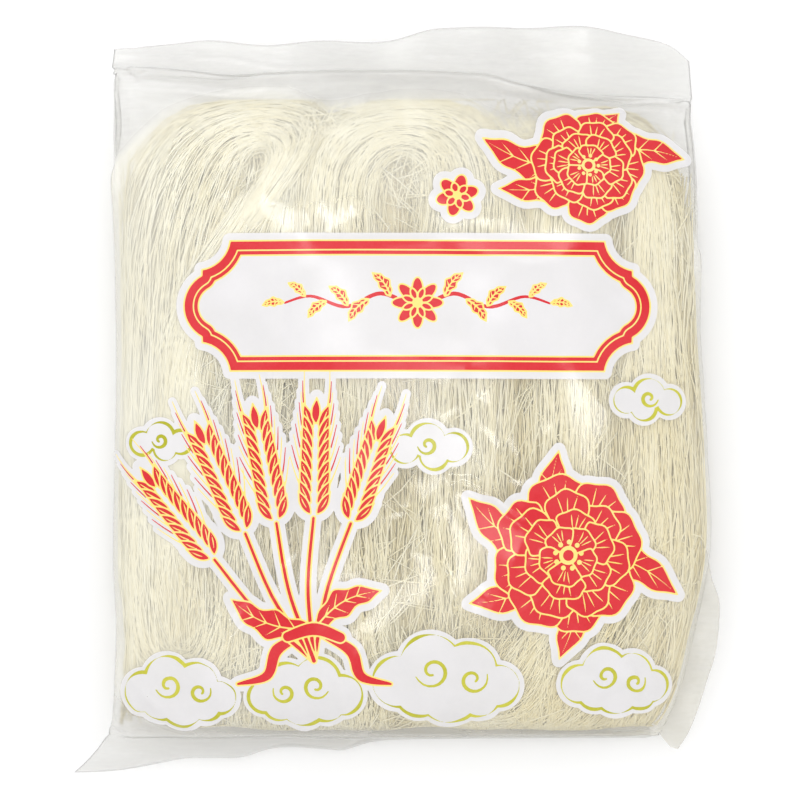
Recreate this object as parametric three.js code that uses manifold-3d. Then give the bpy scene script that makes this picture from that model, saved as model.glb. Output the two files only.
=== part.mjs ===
// A clear film bag of wheat vermicelli lying on its back, as one solid of its outer form.
// Millimetres, +Z up. X runs across the bag, +Y towards its top seal, and Z through its thickness.
// The origin is on the floor, under the middle of the bag's outline.
import * as THREE from "three";
import { mergeVertices } from "three/addons/utils/BufferGeometryUtils.js";
import Module from "manifold-3d";

// Driving dimensions. The outline's points are places on the bag as seen from above.
const CROWN = 41; // height of the fullest part of the bag above the floor
const FILM = 1.4; // thickness of two layers of film with the air between them
const FOOT_Y = -134; // where the filled part ends at the foot
const CREASE_Y = 116; // where the filled part ends at the head
const FOOT_ROUND = 40; // length over which the foot rolls off
const FOOT_SHOULDER = 2.3; // how full that roll is: 1 is straight, 2 a quarter round
const HEAD_SLOPE = 62; // length over which the film comes down to the head's fin
const HEAD_SHOULDER = 1.8;
const FRONT_SHOULDER = 2.7; // how late the front turns down towards the side folds
const FRONT_STEEPNESS = 2.2; // and how steeply it then meets them
const BACK_SHOULDER = 5; // the back is flat almost out to the side folds
const BACK_FLATNESS = 1.04; // over 1, so that a wide middle of the back is a true plane
const BACK_END_FULLNESS = 1.44; // how much sooner the back fills out at the ends than the front
const BACK_END_POWER = 0.8; // and how abruptly
const FOLD_SHARPNESS = 24; // how close to the side fold the two layers part
const CROWN_BASE = 3.7; // the front lies this much under the crown where no hank lifts it
const SEAM_Z = 16; // height of the side fold along the filled part
const FOOT_SEAM_Z = 15.4; // and where the foot flap leaves the bag
const HEAD_SEAM_Z = 13; // and at the crease of the head
const HEAD_TIP_Z = 8; // mean height of the head's free edge
const HEAD_FIN = 24; // length of the head's fin
const HEAD_WAVE = 4.2; // how far the head's free edge waves up and down
const HEAD_WAVE_LENGTH = 62;
const HEAD_WAVE_ROOT = 8; // how far below the crease the waves start
const HEAD_WAVE_GROWTH = 34; // and over what length they grow to full size
const FLAP_LENGTH = 15; // foot flap, from the bag to the edge of its seal
const FLAP_ROOT = 5; // length of the flap that lies inside the bag
const FLAP_SHARE = 0.985; // width of the flap against the bag's
const FLAP_INSET = 1; // how far its left end starts inside the bag's outline
const ACROSS = 32; // facets across the front, and as many across the back
const ALONG = 44; // facets from the foot to the crease
const FIN_STEPS = 5; // facets along the head's fin
const FLAP_ACROSS = 36; // facets across the foot flap
const FLAP_STEPS = 6; // and along it
const CROWDING = 0.55; // how much the facets crowd towards the side folds
const WELD = 1e-4; // corners closer than this are one

// Side folds and free edges, each as [along, value] points that a smooth curve goes through.
const LEFT_SIDE = [
  [-134, -114.4], [-126, -113], [-118, -112.2], [-96, -111.6], [-64, -113.4], [12, -112.4], [68, -113.4],
  [100, -114.4], [140, -113],
];
const RIGHT_SIDE = [
  [-134, 99], [-118, 107], [-98, 112.5], [-64, 119.5], [-26, 119.2], [26, 116], [85, 115], [112, 112.8],
  [140, 111.6],
];
const TOP_EDGE = [
  [-1, 132.5], [-0.82, 136.4], [-0.68, 137.7], [-0.46, 135.2], [-0.24, 137.9], [-0.04, 137.2], [0.13, 142],
  [0.5, 143], [0.8, 140], [0.93, 136], [1, 129.5],
];
// The foot flap, from its left end at -1 to its right end at 1: how far it turns under, in degrees.
const FLAP_TURN = [
  [-1, 12], [-0.9, 24], [-0.78, 54], [-0.7, 69], [-0.53, 72], [-0.38, 102], [-0.2, 94], [-0.14, 93], [0, 143],
  [0.3, 160], [1, 172],
];
const FLAP_EAR = 15; // how far the flap's left end flares past the bag
const FLAP_EAR_START = -0.55; // where along the flap the flare starts
const FLAP_EAR_POWER = 1.4;
const FLAP_EAR_GROWTH = 1.5; // the flare grows towards the free edge
// The ear at the right of the foot, where the film's flat corner stands off the contents.
const EAR = [
  [92, -124], [98, -112], [104, -98], [113, -74], [119.6, -73], [122.6, -80], [123.3, -88], [122.3, -101],
  [119.6, -112], [117.3, -121], [113, -131], [110, -139], [107.4, -141.6], [104.6, -140], [100.4, -133.4],
];
const EAR_Z = 14.5; // height of the ear's upper end
const EAR_ROOT = -74; // y of that end
const EAR_TILT = -0.12; // fall of the ear towards its tip

// Soft ridges where the hanks lie under the film: middle x, lean along y, half width, height.
const HANKS = [
  { x: -84, lean: 0.05, half: 26, high: 1.5 },
  { x: -34, lean: -0.1, half: 22, high: 1.9 },
  { x: 18, lean: 0.06, half: 24, high: 1.4 },
  { x: 66, lean: 0.12, half: 26, high: 2 },
];

const clamp01 = (v) => Math.min(1, Math.max(0, v));

// A smooth curve through [at, value] points, held flat past its ends.
function through(points) {
  const slope = points.map((p, i) => {
    const a = points[Math.max(0, i - 1)];
    const b = points[Math.min(points.length - 1, i + 1)];
    return (b[1] - a[1]) / (b[0] - a[0]);
  });
  return (at) => {
    if (at <= points[0][0]) return points[0][1];
    const i = points.findIndex((p) => p[0] >= at) - 1;
    if (i < 0) return points[points.length - 1][1];
    const span = points[i + 1][0] - points[i][0];
    const t = (at - points[i][0]) / span;
    const t2 = t * t;
    const t3 = t2 * t;
    return (2 * t3 - 3 * t2 + 1) * points[i][1] + (t3 - 2 * t2 + t) * span * slope[i]
      + (3 * t2 - 2 * t3) * points[i + 1][1] + (t3 - t2) * span * slope[i + 1];
  };
}

// Rises from 0 at 0 to 1 at 1 with a round shoulder. A higher power makes it fuller.
const shoulder = (t, power) => (1 - (1 - clamp01(t)) ** power) ** (1 / power);

const leftSide = through(LEFT_SIDE);
const rightSide = through(RIGHT_SIDE);
const topEdge = through(TOP_EDGE);
const flapTurn = through(FLAP_TURN);

// How full the bag is at y: 0 at the crease and the foot, 1 in between.
function fullness(y) {
  return shoulder((y - FOOT_Y) / FOOT_ROUND, FOOT_SHOULDER) * shoulder((CREASE_Y - y) / HEAD_SLOPE, HEAD_SHOULDER);
}

// Height of the side fold, where the front film turns into the back film.
function seamHeight(y) {
  if (y > CREASE_Y) return HEAD_SEAM_Z + (HEAD_TIP_Z - HEAD_SEAM_Z) * clamp01((y - CREASE_Y) / HEAD_FIN);
  const foot = clamp01((y - FOOT_Y) / FOOT_ROUND);
  const head = clamp01((CREASE_Y - y) / HEAD_SLOPE);
  return SEAM_Z - (SEAM_Z - FOOT_SEAM_Z) * (1 - foot) ** 2 - (SEAM_Z - HEAD_SEAM_Z) * (1 - head) ** 2;
}

// The waves of the head's fin, a long one and a shorter one, which grow towards its free edge.
function wave(x, y) {
  const grown = clamp01((y - CREASE_Y + HEAD_WAVE_ROOT) / HEAD_WAVE_GROWTH);
  const phase = (2 * Math.PI * x) / HEAD_WAVE_LENGTH;
  return HEAD_WAVE * grown ** 1.5 * (0.8 * Math.sin(phase + 0.6) + 0.35 * Math.sin(1.7 * phase + 2));
}

function hankRelief(x, y) {
  return HANKS.reduce((sum, h) => sum + h.high * Math.exp(-(((x - h.x - h.lean * y) / h.half) ** 2)), 0);
}

// A point of the front (side 1) or back (side -1) film. t runs from -1 at the left fold to 1 at the right.
function filmPoint(t, y, side) {
  const x = leftSide(y) + ((t + 1) / 2) * (rightSide(y) - leftSide(y));
  const full = fullness(y);
  const seam = seamHeight(y) + wave(x, y);
  const edge = (1 - Math.abs(t) ** FOLD_SHARPNESS) * (FILM / 2);
  if (side > 0) {
    const across = (1 - Math.abs(t) ** FRONT_SHOULDER) ** (1 / FRONT_STEEPNESS);
    const top = CROWN - CROWN_BASE + hankRelief(x, y);
    return new THREE.Vector3(x, y, seam + edge + (top - seam) * full * across);
  }
  const filled = clamp01(full * BACK_END_FULLNESS) ** BACK_END_POWER;
  const flat = (1 - Math.abs(t) ** BACK_SHOULDER) * filled;
  return new THREE.Vector3(x, y, (seam - edge) * (1 - Math.min(1, flat * BACK_FLATNESS)));
}

// Closes a grid of front points over a grid of back points, both [row][column], into one geometry.
function closedSheet(front, back) {
  const rows = front.length;
  const columns = front[0].length;
  const positions = [...front.flat(), ...back.flat()].flatMap((p) => [p.x, p.y, p.z]);
  const at = (side, r, c) => side * rows * columns + r * columns + c;
  const faces = [];
  const quad = (a, b, c, d) => faces.push(a, b, c, a, c, d);
  for (let r = 0; r < rows - 1; r++) {
    for (let c = 0; c < columns - 1; c++) {
      quad(at(0, r, c), at(0, r, c + 1), at(0, r + 1, c + 1), at(0, r + 1, c));
      quad(at(1, r, c), at(1, r + 1, c), at(1, r + 1, c + 1), at(1, r, c + 1));
    }
    quad(at(1, r, 0), at(0, r, 0), at(0, r + 1, 0), at(1, r + 1, 0));
    quad(at(0, r, columns - 1), at(1, r, columns - 1), at(1, r + 1, columns - 1), at(0, r + 1, columns - 1));
  }
  for (let c = 0; c < columns - 1; c++) {
    quad(at(1, 0, c), at(1, 0, c + 1), at(0, 0, c + 1), at(0, 0, c));
    quad(at(0, rows - 1, c), at(0, rows - 1, c + 1), at(1, rows - 1, c + 1), at(1, rows - 1, c));
  }
  const geometry = new THREE.BufferGeometry();
  geometry.setAttribute("position", new THREE.Float32BufferAttribute(positions, 3));
  geometry.setIndex(faces);
  return geometry;
}

// Columns crowd towards the side folds, where the film turns fastest.
function acrossAt(c) {
  const even = (2 * c) / ACROSS - 1;
  return -Math.cos((Math.PI * c) / ACROSS) * CROWDING + even * (1 - CROWDING);
}

// The filled bag with the head's fin, from the foot to the free edge.
function filledBag() {
  const rows = [];
  for (let r = 0; r <= ALONG; r++) {
    const even = r / ALONG;
    const crowded = 0.5 - 0.5 * Math.cos(Math.PI * even);
    const y = FOOT_Y + (CREASE_Y - FOOT_Y) * (0.5 * even + 0.5 * crowded);
    rows.push(() => y);
  }
  for (let r = 1; r <= FIN_STEPS; r++) {
    rows.push((t) => CREASE_Y + (topEdge(t) - CREASE_Y) * (r / FIN_STEPS));
  }
  const grid = (side) => rows.map((row) => {
    const points = [];
    for (let c = 0; c <= ACROSS; c++) points.push(filmPoint(acrossAt(c), row(acrossAt(c)), side));
    return points;
  });
  return closedSheet(grid(1), grid(-1));
}

// The seal of the foot: it stands out at the left and turns under the bag towards the right.
function footFlap() {
  const front = [];
  const back = [];
  for (let s = 0; s <= FLAP_STEPS; s++) {
    const frontRow = [];
    const backRow = [];
    for (let c = 0; c <= FLAP_ACROSS; c++) {
      const t = (2 * c) / FLAP_ACROSS - 1;
      const share = s / FLAP_STEPS;
      const turn = THREE.MathUtils.degToRad(flapTurn(t));
      const angle = turn * share;
      const length = FLAP_ROOT + FLAP_LENGTH;
      const out = (length * Math.sin(angle)) / turn;
      const down = (length * (1 - Math.cos(angle))) / turn;
      const width = (rightSide(FOOT_Y) - leftSide(FOOT_Y)) * FLAP_SHARE;
      const start = leftSide(FOOT_Y) + FLAP_INSET + ((t + 1) / 2) * width;
      const corner = clamp01((FLAP_EAR_START - t) / (FLAP_EAR_START + 1)) ** FLAP_EAR_POWER;
      const flare = FLAP_EAR * share ** FLAP_EAR_GROWTH * corner;
      const middle = new THREE.Vector3(start - flare, FOOT_Y + FLAP_ROOT - out, FOOT_SEAM_Z - down);
      const normal = new THREE.Vector3(0, -Math.sin(angle), Math.cos(angle)).multiplyScalar(FILM / 2);
      frontRow.push(middle.clone().add(normal));
      backRow.push(middle.clone().sub(normal));
    }
    front.unshift(frontRow);
    back.unshift(backRow);
  }
  return closedSheet(front, back);
}

// The flat corner of film at the right of the foot.
function footEar() {
  const outline = new THREE.Shape(EAR.map(([x, y]) => new THREE.Vector2(x, y)));
  const plate = new THREE.ExtrudeGeometry(outline, { depth: FILM, bevelEnabled: false });
  const place = plate.getAttribute("position");
  for (let i = 0; i < place.count; i++) {
    place.setZ(i, place.getZ(i) + EAR_Z + EAR_TILT * (EAR_ROOT - place.getY(i)));
  }
  return plate;
}

const wasm = await Module();
wasm.setup();

function solidOf(geometry) {
  const bare = new THREE.BufferGeometry().setAttribute("position", geometry.getAttribute("position"));
  bare.setIndex(geometry.index);
  const merged = mergeVertices(bare, WELD);
  const count = merged.getAttribute("position").count;
  const triangles = merged.index ? merged.index.array : [...Array(count).keys()];
  return new wasm.Manifold(new wasm.Mesh({
    numProp: 3,
    vertProperties: new Float32Array(merged.getAttribute("position").array),
    triVerts: new Uint32Array(triangles),
  }));
}

function geometryOf(solid) {
  const mesh = solid.getMesh();
  const geometry = new THREE.BufferGeometry();
  geometry.setAttribute("position", new THREE.BufferAttribute(mesh.vertProperties, mesh.numProp));
  geometry.setIndex(new THREE.BufferAttribute(mesh.triVerts, 1));
  geometry.computeVertexNormals();
  return geometry;
}

const whole = solidOf(filledBag()).add(solidOf(footFlap())).add(solidOf(footEar()));
const bagGeometry = geometryOf(whole);
bagGeometry.computeBoundingBox();
const box = bagGeometry.boundingBox;
bagGeometry.translate(-(box.min.x + box.max.x) / 2, -(box.min.y + box.max.y) / 2, -box.min.z);

const bag = new THREE.Mesh(
  bagGeometry,
  new THREE.MeshStandardMaterial({ color: 0xeee9d5, roughness: 0.35, metalness: 0 }),
);
bag.name = "bag";

const part = new THREE.Group();
part.add(bag);
export default part;
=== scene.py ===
"""A clear, printed film bag of fine wheat vermicelli, lying on its back.

Shapes are in millimetres until a mesh is made. Materials, lamps and the camera's distance are in metres.
"""
import math

import bpy
import numpy as np
from mathutils import Matrix, Vector
from mathutils.geometry import delaunay_2d_cdt


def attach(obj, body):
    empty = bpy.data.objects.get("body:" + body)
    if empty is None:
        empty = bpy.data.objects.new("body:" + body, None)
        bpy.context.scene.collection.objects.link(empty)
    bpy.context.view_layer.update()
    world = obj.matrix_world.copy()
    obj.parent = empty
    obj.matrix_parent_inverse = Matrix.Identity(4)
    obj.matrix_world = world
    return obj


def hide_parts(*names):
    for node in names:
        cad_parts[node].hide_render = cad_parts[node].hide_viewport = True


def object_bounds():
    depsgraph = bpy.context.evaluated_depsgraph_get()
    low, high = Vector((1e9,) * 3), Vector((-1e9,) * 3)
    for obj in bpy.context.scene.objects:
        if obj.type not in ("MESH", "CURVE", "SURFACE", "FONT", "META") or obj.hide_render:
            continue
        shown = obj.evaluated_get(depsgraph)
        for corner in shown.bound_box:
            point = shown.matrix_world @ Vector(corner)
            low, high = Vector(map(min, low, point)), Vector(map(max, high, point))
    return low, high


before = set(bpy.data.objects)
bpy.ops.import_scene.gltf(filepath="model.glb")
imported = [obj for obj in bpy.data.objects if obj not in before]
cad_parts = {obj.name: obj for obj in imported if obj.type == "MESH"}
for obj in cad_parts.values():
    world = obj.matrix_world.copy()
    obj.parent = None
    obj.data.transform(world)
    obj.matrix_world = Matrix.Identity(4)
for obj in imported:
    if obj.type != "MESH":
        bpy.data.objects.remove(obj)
CAD_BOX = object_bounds()
MM = 0.001
TINY = 1e-9                           # keeps lengths that are divided by from being 0

# ---------------------------------------------------------------- the bag's outline, as in the model
FILM = 1.4                            # two layers of film with the air between them
SEALED_HALF = 0.35                    # half of that where they are sealed
FOOT_Y, CREASE_Y = -134.0, 116.0      # ends of the filled part
FOOT_ROUND, FOOT_SHOULDER = 40.0, 2.3
HEAD_SLOPE, HEAD_SHOULDER = 62.0, 1.8
CROWN, CROWN_BASE = 41.0, 3.7         # the highest hank, and how much lower the front is between the hanks
FRONT_SHOULDER, FRONT_STEEPNESS = 2.7, 2.2
BACK_SHOULDER, BACK_FLATNESS = 5, 1.04
BACK_END_FULLNESS, BACK_END_POWER = 1.44, 0.8
FOLD_SHARPNESS = 24
SEAM_Z, FOOT_SEAM_Z, HEAD_SEAM_Z, HEAD_TIP_Z = 16.0, 15.4, 13.0, 8.0
HEAD_FIN = 24.0
HEAD_WAVE, HEAD_WAVE_LENGTH = 4.2, 62.0
HEAD_WAVE_ROOT, HEAD_WAVE_GROWTH = 8.0, 34.0
FLAP_LENGTH, FLAP_ROOT, FLAP_INSET, FLAP_SHARE = 15.0, 5.0, 1.0, 0.985
FLAP_EAR, FLAP_EAR_START, FLAP_EAR_POWER, FLAP_EAR_GROWTH = 15.0, -0.55, 1.4, 1.5
LEFT_SIDE = [(-134, -114.4), (-126, -113), (-118, -112.2), (-96, -111.6), (-64, -113.4), (12, -112.4),
             (68, -113.4), (100, -114.4), (140, -113)]
RIGHT_SIDE = [(-134, 99), (-118, 107), (-98, 112.5), (-64, 119.5), (-26, 119.2), (26, 116), (85, 115),
              (112, 112.8), (140, 111.6)]
TOP_EDGE = [(-1, 132.5), (-0.82, 136.4), (-0.68, 137.7), (-0.46, 135.2), (-0.24, 137.9), (-0.04, 137.2),
            (0.13, 142), (0.5, 143), (0.8, 140), (0.93, 136), (1, 129.5)]
FLAP_TURN = [(-1, 12), (-0.9, 24), (-0.78, 54), (-0.7, 69), (-0.53, 72), (-0.38, 102), (-0.2, 94),
             (-0.14, 93), (0, 143), (0.3, 160), (1, 172)]
HANK_RIDGES = [(-84, 0.05, 26, 1.5), (-34, -0.1, 22, 1.9), (18, 0.06, 24, 1.4), (66, 0.12, 26, 2.0)]

# The outline's lowest corner is the free end of the foot's flap at the left.
END_TURN = math.radians(FLAP_TURN[0][1])
END_REACH = (FLAP_ROOT + FLAP_LENGTH) * math.sin(END_TURN) / END_TURN + FILM / 2 * math.sin(END_TURN)
OUTLINE_LOW = (LEFT_SIDE[0][1] + FLAP_INSET - FLAP_EAR, FOOT_Y + FLAP_ROOT - END_REACH)
SHIFT = np.array([CAD_BOX[0].x / MM - OUTLINE_LOW[0], CAD_BOX[0].y / MM - OUTLINE_LOW[1], 0.0])


def smooth_curve(points):
    """A function that runs smoothly through (at, value) points and stays level past its ends."""
    at, value = np.array(points, float).T
    before = np.maximum(np.arange(len(at)) - 1, 0)
    after = np.minimum(np.arange(len(at)) + 1, len(at) - 1)
    slope = (value[after] - value[before]) / (at[after] - at[before])

    def evaluate(x):
        x = np.clip(x, at[0], at[-1])
        i = np.clip(np.searchsorted(at, x, side="right") - 1, 0, len(at) - 2)
        span = at[i + 1] - at[i]
        t = (x - at[i]) / span
        return ((2 * t**3 - 3 * t**2 + 1) * value[i] + (t**3 - 2 * t**2 + t) * span * slope[i]
                + (3 * t**2 - 2 * t**3) * value[i + 1] + (t**3 - t**2) * span * slope[i + 1])

    return evaluate


left_side, right_side = smooth_curve(LEFT_SIDE), smooth_curve(RIGHT_SIDE)
top_edge, flap_turn = smooth_curve(TOP_EDGE), smooth_curve(FLAP_TURN)


def unit(t):
    return np.clip(t, 0.0, 1.0)


def directions(vectors):
    """The same vectors with a length of 1."""
    return vectors / (np.linalg.norm(vectors, axis=-1, keepdims=True) + TINY)


def towards(turn):
    """The direction at an angle in degrees."""
    return np.array([math.cos(math.radians(turn)), math.sin(math.radians(turn))])


def shoulder(t, power):
    """Rises from 0 to 1 with a round shoulder."""
    return (1 - (1 - unit(t)) ** power) ** (1 / power)


def fullness(y, gap=0.0):
    """How full the bag is along its length. gap is how far inside the film."""
    foot = shoulder((y - FOOT_Y - gap) / FOOT_ROUND, FOOT_SHOULDER)
    return foot * shoulder((CREASE_Y - gap - y) / HEAD_SLOPE, HEAD_SHOULDER)


def seam_height(y):
    foot, head = unit((y - FOOT_Y) / FOOT_ROUND), unit((CREASE_Y - y) / HEAD_SLOPE)
    body = SEAM_Z - (SEAM_Z - FOOT_SEAM_Z) * (1 - foot) ** 2 - (SEAM_Z - HEAD_SEAM_Z) * (1 - head) ** 2
    fin = HEAD_SEAM_Z + (HEAD_TIP_Z - HEAD_SEAM_Z) * unit((y - CREASE_Y) / HEAD_FIN)
    return np.where(y > CREASE_Y, fin, body)


def head_wave(x, y):
    grown = unit((y - CREASE_Y + HEAD_WAVE_ROOT) / HEAD_WAVE_GROWTH)
    phase = 2 * np.pi * x / HEAD_WAVE_LENGTH
    return HEAD_WAVE * grown**1.5 * (0.8 * np.sin(phase + 0.6) + 0.35 * np.sin(1.7 * phase + 2))


def hank_relief(x, y):
    """How much each hank lifts the front film."""
    return sum(high * np.exp(-(((x - at - lean * y) / half) ** 2)) for at, lean, half, high in HANK_RIDGES)


def side_x(t, y, gap=0.0):
    """x at the share t across the bag, from -1 at the left fold to 1 at the right."""
    left, right = left_side(y) + gap, right_side(y) - gap
    return left + (t + 1) / 2 * (right - left)


def half_film(t, gap):
    """How far each layer of film stands off the side seam. What lies inside the film has none."""
    return (1 - np.abs(t) ** FOLD_SHARPNESS) * (FILM / 2) * (gap == 0)


def front_height(t, y, gap=0.0):
    """Height of the front film, or of what lies gap under it."""
    x = side_x(t, y)
    seam = seam_height(y) + head_wave(x, y)
    across = (1 - np.abs(t) ** FRONT_SHOULDER) ** (1 / FRONT_STEEPNESS)
    top = CROWN - CROWN_BASE + hank_relief(x, y) - gap
    return seam + half_film(t, gap) + (top - seam) * fullness(y, gap) * across


def back_height(t, y, gap=0.0):
    """Height of the back film, or of what lies gap above it."""
    x = side_x(t, y)
    seam = seam_height(y) + head_wave(x, y)
    filled = unit(fullness(y, gap) * BACK_END_FULLNESS) ** BACK_END_POWER
    drop = np.minimum(1, (1 - np.abs(t) ** BACK_SHOULDER) * filled * BACK_FLATNESS)
    return (seam - half_film(t, gap)) * (1 - drop) + gap * 0.5 * drop


def to_frame(points):
    """Millimetres of the outline above to metres of the model's frame."""
    return (np.asarray(points, float) + SHIFT) * MM


# ---------------------------------------------------------------- meshes from arrays
def mesh_object(name, points, faces):
    """A smooth mesh object from points in millimetres, and an array, or a list of arrays, of faces."""
    groups = faces if isinstance(faces, list) else [faces]
    groups = [g for g in groups if len(g)]
    mesh = bpy.data.meshes.new(name)
    mesh.vertices.add(len(points))
    mesh.vertices.foreach_set("co", to_frame(points).ravel())
    corners = np.concatenate([g.ravel() for g in groups])
    sizes = np.concatenate([np.full(len(g), g.shape[1]) for g in groups])
    mesh.loops.add(len(corners))
    mesh.loops.foreach_set("vertex_index", corners.astype(np.int32))
    mesh.polygons.add(len(sizes))
    mesh.polygons.foreach_set("loop_start", (np.cumsum(sizes) - sizes).astype(np.int32))
    mesh.polygons.foreach_set("loop_total", sizes.astype(np.int32))
    mesh.polygons.foreach_set("use_smooth", np.ones(len(sizes), bool))
    mesh.update(calc_edges=True)
    mesh.validate()
    piece = bpy.data.objects.new(name, mesh)
    bpy.context.scene.collection.objects.link(piece)
    return piece


def run_along(line):
    """Distance along a line to each of its points. line is (points, axes)."""
    return np.concatenate([[0], np.cumsum(np.linalg.norm(np.diff(line, axis=0), axis=1))])


def even_points(line, count):
    """The same line with count points at even distances."""
    run = run_along(line)
    at = np.linspace(0, run[-1], count)
    return np.stack([np.interp(at, run, line[:, i]) for i in range(line.shape[1])], axis=1)


def through_four(p0, p1, p2, p3, t):
    """Points at the shares t between p1 and p2 of a smooth curve through four."""
    square, cube = 2 * p0 - 5 * p1 + 4 * p2 - p3, 3 * (p1 - p2) + p3 - p0
    return p1 + 0.5 * t * (p2 - p0 + t * (square + t * cube))


def between(grid, i, j, u, v):
    """A grid's values at the share u past row i and the share v past column j."""
    row, after = ((1 - v) * grid[k, j] + v * grid[k, j + 1] for k in (i, i + 1))
    return (1 - u) * row + u * after


def rail(points, count):
    """count points on a smooth line through the given ones, one span at a time."""
    points = np.array(points, float)
    at = np.linspace(0, len(points) - 1, count)
    i = np.clip(at.astype(int), 0, len(points) - 2)
    t = (at - i)[:, None]
    before, after = points[np.maximum(i - 1, 0)], points[np.minimum(i + 2, len(points) - 1)]
    return through_four(before, points[i], points[i + 1], after, t)


def to_segments(x, y, a, b):
    """Distance from each place to each piece of line, and how far along that piece it is nearest."""
    ab = b - a
    px, py = x[..., None] - a[:, 0], y[..., None] - a[:, 1]
    t = unit((px * ab[:, 0] + py * ab[:, 1]) / np.maximum((ab**2).sum(axis=1), TINY))
    return np.hypot(px - t * ab[:, 0], py - t * ab[:, 1]), t


# ---------------------------------------------------------------- the film as a tube of rows and columns
# The film is an array of (rows, columns, axes): rows from the flap's free edge to the head's, and columns
# round the bag, first across its front and then back under it.
HALF_RING = 92                        # columns across the front, and as many across the back
RING = 2 * HALF_RING
FLAP_ROWS, BODY_ROWS, HEAD_ROWS = 6, 98, 9
FINE_ACROSS, FINE_ALONG = 400, 2000   # points from which even ones are taken
FINE = np.sin(np.linspace(-np.pi / 2, np.pi / 2, FINE_ACROSS))


def body_ys(rows, gap=0.0):
    """Places along the bag that are evenly spaced over its crown."""
    y = np.linspace(FOOT_Y + gap, CREASE_Y - gap, FINE_ALONG)
    crown = np.stack([y, front_height(np.zeros_like(y), y, gap)], axis=1)
    return even_points(crown, rows + 1)[:, 0]


def ring_at(y, gap=0.0):
    """One closed section: across the front from left to right, then across the back to the left."""
    ys = np.full_like(FINE, y)
    front = np.stack([side_x(FINE, ys, gap), ys, front_height(FINE, ys, gap)], axis=1)
    back = np.stack([side_x(FINE, ys, gap), ys, back_height(FINE, ys, gap)], axis=1)
    front, back = even_points(front, HALF_RING + 1), even_points(back, HALF_RING + 1)
    return np.concatenate([front, back[::-1][1:-1]])


def body_rings(rows, gap=0.0):
    """Sections of the filled part, from the foot to the head."""
    return np.array([ring_at(y, gap) for y in body_ys(rows, gap)])


def share_across():
    """t of each column of a flat ring."""
    out = np.linspace(-1, 1, HALF_RING + 1)
    return np.concatenate([out, out[::-1][1:-1]])


SIDE_OF_COLUMN = np.concatenate([[0], np.ones(HALF_RING - 1), [0], -np.ones(HALF_RING - 1)])


def flap_ring(share):
    """The foot's seal at a share of its length: it turns under the bag towards the right."""
    t = share_across()
    turn = np.radians(flap_turn(t))
    length = FLAP_LENGTH + FLAP_ROOT
    share = FLAP_ROOT / length + share * FLAP_LENGTH / length
    out = length * np.sin(turn * share) / turn
    down = length * (1 - np.cos(turn * share)) / turn
    width = (right_side(FOOT_Y) - left_side(FOOT_Y)) * FLAP_SHARE
    foot = left_side(FOOT_Y) + (t + 1) / 2 * width + FLAP_INSET
    at_ear = unit((FLAP_EAR_START - t) / (1 + FLAP_EAR_START))
    flare = -FLAP_EAR * share**FLAP_EAR_GROWTH * at_ear**FLAP_EAR_POWER
    lift = SIDE_OF_COLUMN * SEALED_HALF
    return np.stack([foot + flare, FOOT_Y + FLAP_ROOT - out - np.sin(turn * share) * lift,
                     FOOT_SEAM_Z - down + np.cos(turn * share) * lift], axis=1)


def head_ring(share):
    """The head's fin at a share of its length."""
    t = share_across()
    y = CREASE_Y + (top_edge(t) - CREASE_Y) * share
    x = side_x(t, y)
    return np.stack([x, y, seam_height(y) + head_wave(x, y) + SIDE_OF_COLUMN * SEALED_HALF], axis=1)


def film_rows():
    """All sections of the film before it settles."""
    flap = [flap_ring(s) for s in np.linspace(1, 1 / FLAP_ROWS, FLAP_ROWS)]
    head = [head_ring(s) for s in np.linspace(1 / HEAD_ROWS, 1, HEAD_ROWS)]
    return np.concatenate([flap, body_rings(BODY_ROWS), head])


def quads_between(near, far):
    """Quads from each row of point numbers to the next. far holds the neighbours of near along the row."""
    corners = [near[..., :-1, :], far[..., :-1, :], far[..., 1:, :], near[..., 1:, :]]
    return np.stack(corners, axis=-1).reshape(-1, 4)


def tube_faces(rows, columns, closed_ends=True):
    """Quads of a tube of rows and columns, with its two ends pressed flat and closed."""
    index = np.arange(rows * columns).reshape(rows, columns)
    quads = quads_between(index, np.roll(index, -1, axis=1))
    if not closed_ends:
        return quads
    half = columns // 2
    k = np.arange(1, half - 1)
    ends, corners = [], []
    for row, order in ((index[0], -1), (index[-1], 1)):
        far = columns - k
        ends.append(np.stack([row[k], row[k + 1], row[far - 1], row[far]], axis=1)[:, ::order])
        corners.append(np.array([[row[0], row[1], row[columns - 1]],
                                 [row[half - 1], row[half], row[half + 1]]])[:, ::order])
    return [np.concatenate([quads] + ends), np.concatenate(corners)]


# ---------------------------------------------------------------- simulation of the film round its contents
SIM_SCALE = 10.0                      # the cloth solver works better on larger things
SIM_FRAMES = 26
SIM_GRAVITY = 0.1
TOUCH = 0.004                         # how near the scaled film and its contents come to each other
CLOTH = {"quality": 6, "mass": 0.15, "tension_stiffness": 40, "compression_stiffness": 40,
         "shear_stiffness": 20, "bending_stiffness": 0.15, "tension_damping": 12, "compression_damping": 12,
         "shear_damping": 12, "bending_damping": 0.5, "air_damping": 2, "use_pressure": True,
         "uniform_pressure_force": 0.4}
CLOTH_TOUCH = {"use_collision": True, "distance_min": TOUCH, "collision_quality": 3}
CONTENTS_TOUCH = {"thickness_outer": TOUCH, "thickness_inner": 0.1, "damping": 0.5}
CONTENTS_ROWS = 60
CONTENTS_GAP = 2.2                    # how far inside the film the noodles start
MOST_MOVED = 5.0                      # no part of the film settles farther away than this
SLACK_ALONG, SLACK_AROUND = 1.006, 1.022
SIDES_EVENED = 0.8                    # how much of the crown's extra length the film has at its sides too


def set_all(owner, settings):
    """Gives a thing its settings by name."""
    for name, value in settings.items():
        setattr(owner, name, value)


def sim_object(name, points, faces):
    piece = mesh_object(name, points, faces)
    piece.data.transform(Matrix.Scale(SIM_SCALE, 4))
    return piece


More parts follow.
